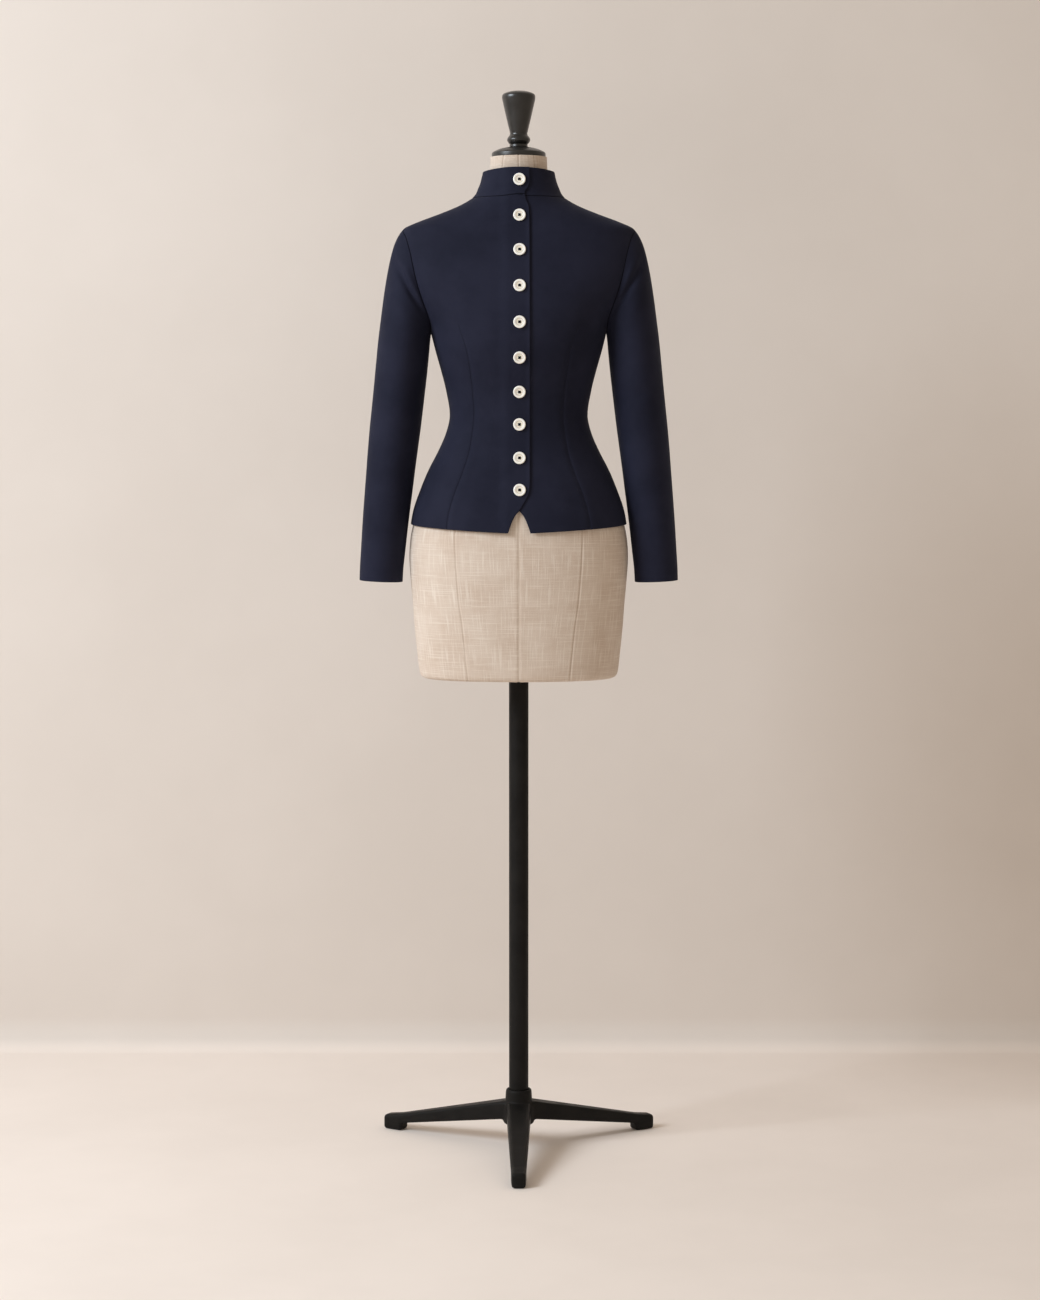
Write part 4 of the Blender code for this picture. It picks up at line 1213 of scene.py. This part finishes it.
# %% The button's outline and its holes
BUTTON_HEIGHTS = (1583.5, 1526.0, 1470.5, 1413.5, 1356.5, 1301.5, 1247.0, 1194.5, 1141.0, 1090.0)
BUTTON_STAND_OFF = 0.45
BUTTON_OUTLINE = table(
    CORNERS,
    (0, 1.8, 0),
    (4.7, 1.9, 0.5),
    (5.4, 2.45, 0.2),
    (5.85, 2.1, 0.15),
    (6.3, 2.52, 0.2),
    (7.3, 2.8, 0.6),
    (8.6, 3.15, 0.8),
    (9.9, 2.4, 0.9),
    (9.9, 1, 0.6),
    (8.6, 0, 0.5),
    (0, 0, 0),
)
HOLE_RADIUS, HOLE_ACROSS, HOLE_UP = 1.0, 1.6, 1.1
DRILL_LENGTH, DRILL_SIDES = 20.0, 20


def bored_button():
    """One button in millimetres, facing +Z, with four holes through it."""
    holes = bmesh.new()
    size = {"radius1": HOLE_RADIUS, "radius2": HOLE_RADIUS, "depth": DRILL_LENGTH, "segments": DRILL_SIDES}
    for across, up in ((-1.0, -1.0), (-1.0, 1.0), (1.0, -1.0), (1.0, 1.0)):
        place = Matrix.Translation((across * HOLE_ACROSS, up * HOLE_UP, 0.0))
        bmesh.ops.create_cone(holes, cap_ends=True, matrix=place, **size)
    drill = placed("button_drill", as_data("button_drill", holes))
    button = placed("button_blank", as_data("button_blank", spun(BUTTON_OUTLINE)))
    bore = button.modifiers.new("holes", "BOOLEAN")
    bore.operation = "DIFFERENCE"
    bore.object = drill
    made = baked(button)
    bpy.data.objects.remove(drill, do_unlink=True)
    return made


button_shape = bored_button()
print("a button has", len(button_shape.polygons), "faces")

# %% The thread
STRAND_RADIUS, STRAND_SIDES, STRAND_PITCH = 0.34, 8, 0.56
STRANDS = [n * STRAND_PITCH for n in range(-3, 4)]
SHANK_BELOW, ARCH_FROM, ARCH_STEPS = -0.6, 1.5, 10


def thread_knot():
    """Strands that rise from the cloth, arch over the middle and go down again."""
    mesh = bmesh.new()
    size = {"radius": STRAND_RADIUS, "segments": STRAND_SIDES}
    for up in STRANDS:
        ring = bmesh.ops.create_circle(mesh, cap_ends=False, **size)["verts"]
        bmesh.ops.translate(mesh, vec=(-HOLE_ACROSS, up, SHANK_BELOW), verts=ring)
        edges = list({edge for v in ring for edge in v.link_edges})
        risen = bmesh.ops.extrude_edge_only(mesh, edges=edges)["geom"]
        bmesh.ops.translate(mesh, vec=(0.0, 0.0, ARCH_FROM - SHANK_BELOW), verts=points_in(risen))
        turn = {"axis": (0, 1, 0), "cent": (0.0, 0.0, ARCH_FROM), "angle": math.pi}
        top = points_in(risen) + edges_in(risen)
        arch = bmesh.ops.spin(mesh, geom=top, steps=ARCH_STEPS, **turn)["geom_last"]
        down = bmesh.ops.extrude_edge_only(mesh, edges=edges_in(arch))["geom"]
        bmesh.ops.translate(mesh, vec=(0.0, 0.0, SHANK_BELOW - ARCH_FROM), verts=points_in(down))
    bmesh.ops.remove_doubles(mesh, verts=mesh.verts, dist=0.001)
    bmesh.ops.holes_fill(mesh, edges=[e for e in mesh.edges if e.is_boundary], sides=0)
    bmesh.ops.recalc_face_normals(mesh, faces=mesh.faces)
    return as_data("thread", mesh)


thread_shape = thread_knot()

# %% Sew the buttons on
NORMAL_STEP, NORMAL_TURN = 0.5, 0.02  # mm up and radians round, to find how the lap faces


def lap_point(height, angle):
    """The upper layer's surface, on the collar above the neck seam and on the front below it."""
    if height > NECKLINE:
        share = (height - NECKLINE) / (COLLAR_BANDS[-1].height + COLLAR_FRONT_LIFT - NECKLINE)
        return collar_point(share, angle)
    return torso_point(height, angle)


def lap_place(height):
    """Where a button sits on the lap, as a matrix from the button's own millimetres."""
    s = torso_section(height)
    half_width = between(COLLAR_BANDS, height).half_width if height > NECKLINE else s.half_width
    angle = angle_at(half_width, COLLAR_SQUARENESS, LAP_CENTRE)
    point = lap_point(height, angle)
    up = lap_point(height + NORMAL_STEP, angle) - lap_point(height - NORMAL_STEP, angle)
    across = lap_point(height, angle + NORMAL_TURN) - lap_point(height, angle - NORMAL_TURN)
    normal = across.cross(up).normalized()
    seat = Matrix.Translation(in_scene(point + normal * (LAP_RISE + BUTTON_STAND_OFF)))
    facing = normal.to_track_quat("Z", "Y").to_matrix().to_4x4()
    return seat @ facing @ Matrix.Scale(MM, 4)


def sewn_on(name, shape, height, finish):
    """A copy of a shape, put in its place on the lap."""
    mesh = bmesh.new()
    mesh.from_mesh(shape)
    from_middle = mesh.verts.layers.float.new("from_middle")
    for point in mesh.verts:
        point[from_middle] = math.hypot(point.co.x, point.co.y) * MM
    bmesh.ops.transform(mesh, matrix=lap_place(height), verts=mesh.verts)
    return finished_piece(name, mesh, finish)


for number, height in enumerate(BUTTON_HEIGHTS, start=1):
    button = sewn_on(f"jacket_button_{number:02d}", button_shape, height, button_finish)
    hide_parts(f"button_{number:02d}")
    sewn_on(f"button_thread_{number:02d}", thread_shape, height, thread_finish)

# %% [markdown]
# ## The linen form
#
# A dress form is a padded body under a tight linen cover. The cover is cut in eight long panels, sewn
# together down the middle of the front and the back, down both sides, and along four princess seams that
# follow the body. Each seam is a narrow groove with the turned-in edges swelling beside it. Only the neck
# and the hips show.

# %% The form's sections
FORM_SECTIONS = table(
    "height half_width front back squareness",
    (782.5, 153.5, 92.5, 99.5, 2.2),
    (785.5, 159, 97, 104, 2.2),
    (793.5, 162, 99.5, 106.5, 2.2),
    (824, 165.5, 101.5, 109, 2.2),
    (864, 169.5, 103.5, 111.5, 2.2),
    (905, 172.5, 105, 113.5, 2.2),
    (945, 176, 106.5, 115, 2.2),
    (981, 178, 106, 116, 2.2),
    (1011, 175.8, 104.5, 115, 2.2),
    (1033, 171.5, 103, 113.5, 2.2),
    (1056, 167, 100.5, 110.5, 2.2),
    (1089, 156, 94.5, 103.5, 2.2),
    (1120, 142.8, 89, 94, 2.16),
    (1152, 126.3, 84.5, 84, 2.12),
    (1181, 114, 81.5, 77, 2.1),
    (1210, 108.2, 80.7, 74, 2.1),
    (1250, 114, 84.5, 78.7, 2.12),
    (1282, 121.8, 92.5, 86, 2.16),
    (1314, 130.4, 100, 92.5, 2.2),
    (1341, 135.6, 104, 96.5, 2.2),
    (1368, 143.1, 103.8, 99, 2.2),
    (1399, 152, 99.5, 101, 2.2),
    (1435, 160, 91.8, 100, 2.2),
    (1470, 165, 82.5, 93.7, 2.2),
    (1490, 162.6, 76.5, 87.5, 2.2),
    (1503, 155, 71.7, 83, 2.18),
    (1515, 139.7, 68.2, 78.4, 2.14),
    (1526, 113, 64.8, 74, 2.12),
    (1537, 86, 61.3, 68.8, 2.08),
    (1549, 64, 56.4, 61.3, 2.04),
    (1561, 52.5, 51, 53, 2),
    (1579, 47.5, 47.5, 48, 2),
    (1602, 46.2, 46.2, 46.2, 2),
    (1623.7, 45.4, 45.4, 45.4, 2),
)
# how far the princess seam runs from the middle
PRINCESS_SEAM = table(
    "height x",
    (782, 81.5),
    (871, 90.5),
    (911, 96),
    (979, 101),
    (1033, 101),
    (1120, 84),
    (1210, 66),
    (1341, 84),
    (1435, 92),
    (1515, 74),
    (1549, 36),
    (1624, 24),
)


@lru_cache(maxsize=None)
def form_section(height):
    return between(FORM_SECTIONS, height)


@lru_cache(maxsize=None)
def form_seams(height):
    """The angles of the nine seam lines, once round from the middle of the front and back to it."""
    s = form_section(height)
    princess = angle_at(s.half_width, s.squareness, between(PRINCESS_SEAM, height).x)
    half = (0.0, princess, math.pi / 2.0, math.pi - princess, math.pi)
    return half + tuple(math.tau - turn for turn in half[-2::-1])


print("princess seams start", PRINCESS_SEAM[0].x, "mm from the middle")

# %% The form's rows, from the pole's socket round to the neck
FormRow = namedtuple("FormRow", "kind value")
POLE_RADIUS, FIT_GAP, POLE_SOCKET = 16.0, 0.3, 55.0
PANEL_WIDTH, FORM_STEP, FLOOR_ROWS = 78.0, 5.4, 12
FORM_HIGH = FORM_SECTIONS[-1].height - FORM_SECTIONS[0].height


def form_rows():
    heights = [FORM_SECTIONS[0].height + FORM_HIGH * share for share in graded(FORM_HIGH, FORM_STEP)]
    rows = [FormRow("socket_end", 0.0), FormRow("socket", 1.0), FormRow("socket", 0.0)]
    rows += [FormRow("floor", n / FLOOR_ROWS) for n in range(1, FLOOR_ROWS)]
    rows += [FormRow("side", height) for height in heights]
    rows += [FormRow("top", 0.5), FormRow("top", 1.0)]
    return rows


def form_columns():
    """Columns 0 to 8, one for each panel, finest at the seams."""
    shares = graded(PANEL_WIDTH, FORM_STEP)
    return [0.0] + [panel + share for panel in range(8) for share in shares[1:]]


def form_turn(column, height):
    seams = form_seams(height)
    panel = min(int(column), 7)
    return seams[panel] + (seams[panel + 1] - seams[panel]) * (column - panel)


def form_place(column, row):
    low, high = FORM_SECTIONS[0], FORM_SECTIONS[-1]
    if row.kind == "side":
        s = form_section(row.value)
        turn = form_turn(column, row.value)
        return loop_point(s.half_width, s.front, s.back, s.squareness, turn, row.value)
    if row.kind == "top":
        rim = form_place(column, FormRow("side", high.height))
        return rim.lerp(Vector((0.0, 0.0, high.height)), row.value)
    turn = form_turn(column, low.height)
    hole = Vector((math.sin(turn), -math.cos(turn), 0.0)) * (POLE_RADIUS + FIT_GAP)
    hole.z = low.height
    if row.kind == "floor":
        return hole.lerp(form_place(column, FormRow("side", low.height)), row.value)
    if row.kind == "socket":
        return hole + Vector((0.0, 0.0, POLE_SOCKET * row.value))
    return Vector((0.0, 0.0, low.height + POLE_SOCKET))


def form_flat(column, row):
    height = row.value if row.kind == "side" else FORM_SECTIONS[0].height
    return (column * PANEL_WIDTH, height)


# %% Slubby linen
LINEN_LIGHT = (0.66, 0.555, 0.465, 1.0)
LINEN_WARM = (0.59, 0.475, 0.385, 1.0)
LINEN_SLUB = (0.80, 0.72, 0.63, 1.0)
# painted shade for the seam grooves of the cover
LINEN_SEAM_SHADE = (0.36, 0.275, 0.20, 1.0)


LINEN_PITCH, LINEN_SEAM_WIDTH = 0.0009, 0.0015  # metres


def slubby_linen():
    sockets = {"Roughness": 0.88, "Sheen Weight": 0.12, "Specular IOR Level": 0.25}
    made, tree = start_material("slubby_linen", sockets)
    weave = woven(tree, LINEN_PITCH, 0.0, 1.0)
    seam_shade_mask = sewn(tree, attribute(tree, "line_distance"), LINEN_SEAM_WIDTH)
    ground = tinted(tree, mottled(tree, 0.05), LINEN_WARM, LINEN_LIGHT)
    slubbed = tinted(tree, times(tree, weave["Slub"], 0.6), ground, LINEN_SLUB)
    # painted shade: the linen darkens along its seams, where shade falls in the groove
    colour = tinted(tree, times(tree, seam_shade_mask, 0.3), slubbed, LINEN_SEAM_SHADE)
    return end_material(made, {"Base Color": colour, "Normal": bumped(tree, weave["Height"], 0.5, 0.0003)})


linen = slubby_linen()

# %% Make the form
GROOVE, GROOVE_WIDTH = 0.5, 1.0
WELT, WELT_FROM, WELT_WIDTH = 0.22, 2.8, 1.6
PRESSED = 1.6  # how far the padding gives way under the jacket
PRESSED_FROM, PRESSED_FULL = HEM + 20.0, HEM + 60.0
PRESSED_LESS_FROM, PRESSED_TO = 1520.0, 1555.0


def form_seam_distance(column, row):
    """How far a point is round the form from the nearest seam."""
    panel_share = column - round(column)
    seams = form_seams(row.value)
    near = min(int(column), 7)
    s = form_section(row.value)
    return panel_share * (seams[near + 1] - seams[near]) * (s.half_width + s.front) / 2.0


def form_relief(place, column, row):
    if row.kind != "side":
        return 0.0
    away = abs(form_seam_distance(column, row))
    groove = GROOVE * math.exp(-((away / GROOVE_WIDTH) ** 2))
    welt = WELT * math.exp(-(((away - WELT_FROM) / WELT_WIDTH) ** 2))
    below_neck = 1.0 - smooth_step(PRESSED_LESS_FROM, PRESSED_TO, row.value)
    pressed = PRESSED * smooth_step(PRESSED_FROM, PRESSED_FULL, row.value) * below_neck
    return welt - groove - pressed


def linen_form():
    cover = ClothPiece("linen_form", form_columns(), form_rows(), form_place, form_flat, closed_round=True)
    for point, (_, _, column, row) in cover.cells.items():
        if row.kind == "side":
            point[cover.line] = form_seam_distance(column, row) * MM
    cover.lift(form_relief)
    return cover.finish(linen, "linen", None)


form = linen_form()
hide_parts("form_body")

# %% [markdown]
# ## The wooden cap and its handle
#
# The neck is closed by a turned cap with a handle on it, both in wood with a black satin lacquer. Satin
# lacquer has two things to show: a soft, wide highlight, and under it the faint rings that turning leaves
# in the wood.

# %% Black lacquered wood
LACQUER_DEEP, LACQUER_LIT = (0.0075, 0.0070, 0.0065, 1.0), (0.0125, 0.0115, 0.0105, 1.0)
RING_SCALE = (60.0, 60.0, 1400.0)  # the lathe's rings are fine along its axis and long round it


def black_lacquer():
    sockets = {"Coat Weight": 0.3, "Coat Roughness": 0.28}
    made, tree = start_material("black_lacquered_wood", sockets)
    rings = noise(tree, stretched(tree, object_place(tree), RING_SCALE), 1.0, 3.0)
    mottle = mottled(tree, 0.02)
    outputs = {
        "Base Color": tinted(tree, mottle, LACQUER_DEEP, LACQUER_LIT),
        "Roughness": ranged(tree, mottle, 0.0, 1.0, 0.30, 0.42),
        "Normal": bumped(tree, rings, 0.12, 0.0002),
    }
    return end_material(made, outputs)


lacquer = black_lacquer()

# %% Turn the cap and the handle
CAP_OUTLINE = table(
    CORNERS,
    (0, 16.4, 0),
    (15, 16.4, 3),
    (27, 14.2, 6),
    (37, 10.6, 4),
    (42.6, 7.4, 1.6),
    (43.5, 5.6, 1),
    (43.5, 0.4, 0.4),
    (42.9, 0, 0.3),
    (0, 0, 0),
)
HANDLE_OUTLINE = table(
    CORNERS,
    (0, 89, 0),
    (13, 88.4, 8),
    (25.6, 84.2, 5),
    (27.4, 79, 4),
    (20.2, 47, 14),
    (13.4, 19.4, 3),
    (17.6, 14.6, 2.5),
    (19.3, 10.4, 3.5),
    (16.6, 6, 2),
    (14.2, 3.6, 1.2),
    (14.7, 0, 0.4),
    (0, 0, 0),
)
CAP_BOTTOM = FORM_SECTIONS[-1].height + FIT_GAP
HANDLE_BOTTOM = CAP_BOTTOM + CAP_OUTLINE[0].height + FIT_GAP

turned_cap = put_on_axis(spun(CAP_OUTLINE), CAP_BOTTOM)
turned_handle = put_on_axis(spun(HANDLE_OUTLINE), HANDLE_BOTTOM)
cap = finished_piece("wooden_cap", turned_cap, lacquer)
handle = finished_piece("wooden_handle", turned_handle, lacquer)
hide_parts("neck_cap")
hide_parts("finial")

# %% [markdown]
# ## The pole and the cast foot
#
# The pole is a steel tube, and the foot is one casting: a hub with three long legs that taper to flat
# pads. A casting has no sharp inner corners, because molten iron doesn't fill them. So the hub and the
# legs are modelled as plain solids that run into each other, melted into one skin by a voxel remesh, and
# smoothed a little.

# %% Black powder coat
COAT_DEEP, COAT_LIT = (0.0070, 0.0064, 0.0060, 1.0), (0.0120, 0.0108, 0.0098, 1.0)
COAT_GRAINS = 900.0  # in a metre


def black_powder_coat():
    made, tree = start_material("black_powder_coat", {"Specular IOR Level": 0.12})
    mottle = mottled(tree, 0.04)
    outputs = {
        "Base Color": tinted(tree, mottle, COAT_DEEP, COAT_LIT),
        "Roughness": ranged(tree, mottle, 0.0, 1.0, 0.42, 0.56),
        "Normal": bumped(tree, noise(tree, object_place(tree), COAT_GRAINS, 2.0), 0.25, 0.0002),
    }
    return end_material(made, outputs)


powder_coat = black_powder_coat()

# %% The pole
HUB_SOCKET_FLOOR = 44.0
pole_bottom = HUB_SOCKET_FLOOR + FIT_GAP
pole_top = FORM_SECTIONS[0].height + POLE_SOCKET - FIT_GAP
POLE_OUTLINE = table(
    CORNERS,
    (0.0, pole_top, 0.0),
    (POLE_RADIUS, pole_top, 1.0),
    (POLE_RADIUS, pole_bottom, 1.0),
    (0.0, pole_bottom, 0.0),
)
tube = finished_piece("steel_pole", put_on_axis(spun(POLE_OUTLINE), 0.0), powder_coat)
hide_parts("pole")

# %% The casting's solids
LEG_OUTLINE = table(
    "reach height",
    (6, 77),
    (24, 77),
    (231, 28),
    (260, 24),
    (260, 0),
    (224, 0),
    (224, 13),
    (24, 46.5),
    (6, 46.5),
)
HUB_OUTLINE = table(
    CORNERS,
    (0.0, HUB_SOCKET_FLOOR, 0.0),
    (POLE_RADIUS + 0.9, HUB_SOCKET_FLOOR, 0.0),
    (POLE_RADIUS + 0.9, 98.5, 0.0),
    (19.8, 98.5, 0.8),
    (21.4, 95, 1.5),
    (22.4, 75, 1.5),
    (26, 70, 3),
    (26, 43, 3),
    (22.5, 39.5, 1.5),
    (0, 39.5, 0),
)
LEG_HUB_WIDTH, LEG_FOOT_WIDTH = 40.0, 22.4
LEG_TAPER_FROM, LEG_REACH = 24.0, 260.0
LEG_EDGE, LEG_EDGE_STEPS = 4.6, 3
ROUNDED_FROM = math.radians(35.0)  # an edge that turns by more than this is rounded
LEG_COUNT = 3


def add_leg(casting, turn):
    """A leg towards -Y: its side outline pushed out to both sides, narrower towards the pad, then turned."""
    outline = [casting.verts.new((0.0, -p.reach, p.height)) for p in LEG_OUTLINE]
    pushed = bmesh.ops.extrude_face_region(casting, geom=[casting.faces.new(outline)])["geom"]
    far = points_in(pushed)
    for side, points in ((-1.0, outline), (1.0, far)):
        for point in points:
            share = min(max((-point.co.y - LEG_TAPER_FROM) / (LEG_REACH - LEG_TAPER_FROM), 0.0), 1.0)
            point.co.x = side * (LEG_HUB_WIDTH + (LEG_FOOT_WIDTH - LEG_HUB_WIDTH) * share) / 2.0
    faces = list({face for point in outline + far for face in point.link_faces})
    bmesh.ops.recalc_face_normals(casting, faces=faces)
    every_edge = {edge for point in outline + far for edge in point.link_edges}
    edges = [edge for edge in every_edge if edge.calc_face_angle(0.0) > ROUNDED_FROM]
    how = {"profile": 0.5, "affect": "EDGES", "material": -1, "clamp_overlap": True}
    bevelled = bmesh.ops.bevel(casting, geom=edges, offset=LEG_EDGE, segments=LEG_EDGE_STEPS, **how)
    leg = {v for face in faces if face.is_valid for v in face.verts} | set(bevelled["verts"])
    bmesh.ops.rotate(casting, cent=(0.0, 0.0, 0.0), matrix=Matrix.Rotation(turn, 3, "Z"), verts=list(leg))


# %% Melt the casting into one skin
VOXEL = 1.3
SMOOTHINGS, SMOOTHED_BY = 5, 0.5


def melted(name, solids):
    """One closed skin round solids that run into each other."""
    blank = placed(name, as_data(name, solids))
    melt = blank.modifiers.new("melt", "REMESH")
    melt.mode = "VOXEL"
    melt.voxel_size = VOXEL * MM
    mesh = bmesh.new()
    mesh.from_mesh(baked(blank))
    every_way = {"use_axis_x": True, "use_axis_y": True, "use_axis_z": True}
    for _ in range(SMOOTHINGS):
        bmesh.ops.smooth_vert(mesh, verts=mesh.verts, factor=SMOOTHED_BY, **every_way)
    return mesh


solids = spun(HUB_OUTLINE)
for n in range(LEG_COUNT):
    add_leg(solids, math.tau * n / LEG_COUNT)
foot = finished_piece("cast_foot", melted("casting", put_on_axis(solids, 0.0)), powder_coat)
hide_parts("base")

# %% [markdown]
# ## The cloth's area
#
# The area of one side of each piece of cloth's closed wall is measured and printed.

def cloth_area(piece):
    """One side of a closed cloth wall, in square metres."""
    return sum(face.area for face in piece.data.polygons) / 2.0


for piece in (front_right, front_left, back, sleeve_left, sleeve_right, stand_collar):
    print(piece.name, "measures", round(cloth_area(piece), 4), "square metres")

# %% [markdown]
# ## The studio
#
# The floor and the wall are one pale sheet with a soft bend between them, as in a photographer's studio.
# It stands behind the form and is not part of the object.

# %% A pale sheet that bends up into a wall
WALL_AT, BEND_RADIUS = 0.80, 0.06  # metres from the scene's middle to the wall
FLOOR_FRONT, WALL_TOP, SHEET_HALF = -6.0, 5.0, 5.0
BEND_STEPS = 16
FLOOR_TONE = (0.89, 0.805, 0.74, 1.0)
WALL_TONE = (0.745, 0.68, 0.625, 1.0)
CLOUD_TONE = (0.36, 0.30, 0.24, 1.0)
CLOUD_SIZE, CLOUD_STRENGTH = 0.45, 0.07
TONE_CHANGES_BY = 0.4 * BEND_RADIUS  # the height at which the floor's tone has turned into the wall's


def studio_paper():
    """Pale paper, clear from its back, or it would hide the form from behind."""
    made, tree = start_material("studio_paper", {"Roughness": 0.9})
    height = add(tree, "ShaderNodeSeparateXYZ", {0: object_place(tree)}).outputs["Z"]
    upright = ranged(tree, height, 0.0, TONE_CHANGES_BY)
    tone = tinted(tree, upright, FLOOR_TONE, WALL_TONE)
    clouds = times(tree, mottled(tree, CLOUD_SIZE), CLOUD_STRENGTH)
    end_material(made, {"Base Color": tinted(tree, clouds, tone, CLOUD_TONE)})
    backfacing = add(tree, "ShaderNodeNewGeometry").outputs["Backfacing"]
    clear = add(tree, "ShaderNodeBsdfTransparent").outputs[0]
    paper = tree.nodes["Principled BSDF"].outputs[0]
    one_sided = add(tree, "ShaderNodeMixShader", {0: backfacing, 1: paper, 2: clear}).outputs[0]
    tree.links.new(one_sided, tree.nodes["Material Output"].inputs["Surface"])
    return made


def backdrop():
    mesh = bmesh.new()
    points = [(FLOOR_FRONT, 0.0)]
    for step in range(BEND_STEPS + 1):
        turn = math.pi / 2.0 * step / BEND_STEPS
        out, up = BEND_RADIUS * math.sin(turn), BEND_RADIUS * math.cos(turn)
        points.append((WALL_AT - BEND_RADIUS + out, BEND_RADIUS - up))
    points.append((WALL_AT, WALL_TOP))
    line = [mesh.verts.new((-SHEET_HALF, y, z)) for y, z in points]
    edges = [mesh.edges.new(pair) for pair in zip(line, line[1:])]
    moved = bmesh.ops.extrude_edge_only(mesh, edges=edges)["geom"]
    bmesh.ops.translate(mesh, vec=(2.0 * SHEET_HALF, 0.0, 0.0), verts=points_in(moved))
    data = as_data("studio_sheet", mesh)
    data.shade_smooth()
    data.materials.append(studio_paper())
    sheet = placed("studio_sheet", data)


backdrop()

# %% [markdown]
# The light comes from one large soft source, high and well to the left. It is cool, like a window, so the
# right side of the jacket falls into deep navy and the wall grows darker and warmer to the right. A dim
# warm light from all round keeps the shadows soft.

# %% Light
KEY_FROM, KEY_TO = Vector((-3.4, -2.0, 3.1)), Vector((0.0, 0.0, 1.0))

key = bpy.data.lights.new("key", "AREA")
key.shape = "RECTANGLE"
key.size, key.size_y = 1.8, 2.0
key.energy = 172.0
key.color = (0.83, 0.915, 1.0)
key_light = placed("key", key)
key_light.location = KEY_FROM
key_light.rotation_euler = (KEY_TO - KEY_FROM).to_track_quat("-Z", "Y").to_euler()

world = bpy.data.worlds.new("studio_air")
world.use_nodes = True
air = world.node_tree.nodes["Background"].inputs
air["Color"].default_value = (1.0, 0.87, 0.73, 1.0)
air["Strength"].default_value = 0.48
bpy.context.scene.world = world
bpy.context.scene.view_settings.view_transform = "Standard"

# %% [markdown]
# ## The camera
#
# The photograph is taken from a little above the middle of the form, 4.6 m in front of the pole, with a
# long lens that looks slightly down.

# %% Camera
CAMERA_DISTANCE, CAMERA_HEIGHT, CAMERA_X = 4.6, 1.205, 0.0021
LOOKS_DOWN = math.radians(4.7)

camera_data = bpy.data.cameras.new("camera")
camera_data.lens = 78.15
camera_data.sensor_width = 36.0
camera = placed("camera", camera_data)
camera.location = (CAMERA_X, AXIS.y - CAMERA_DISTANCE, CAMERA_HEIGHT)
camera.rotation_euler = (math.pi / 2.0 - LOOKS_DOWN, 0.0, 0.0)
bpy.context.scene.camera = camera
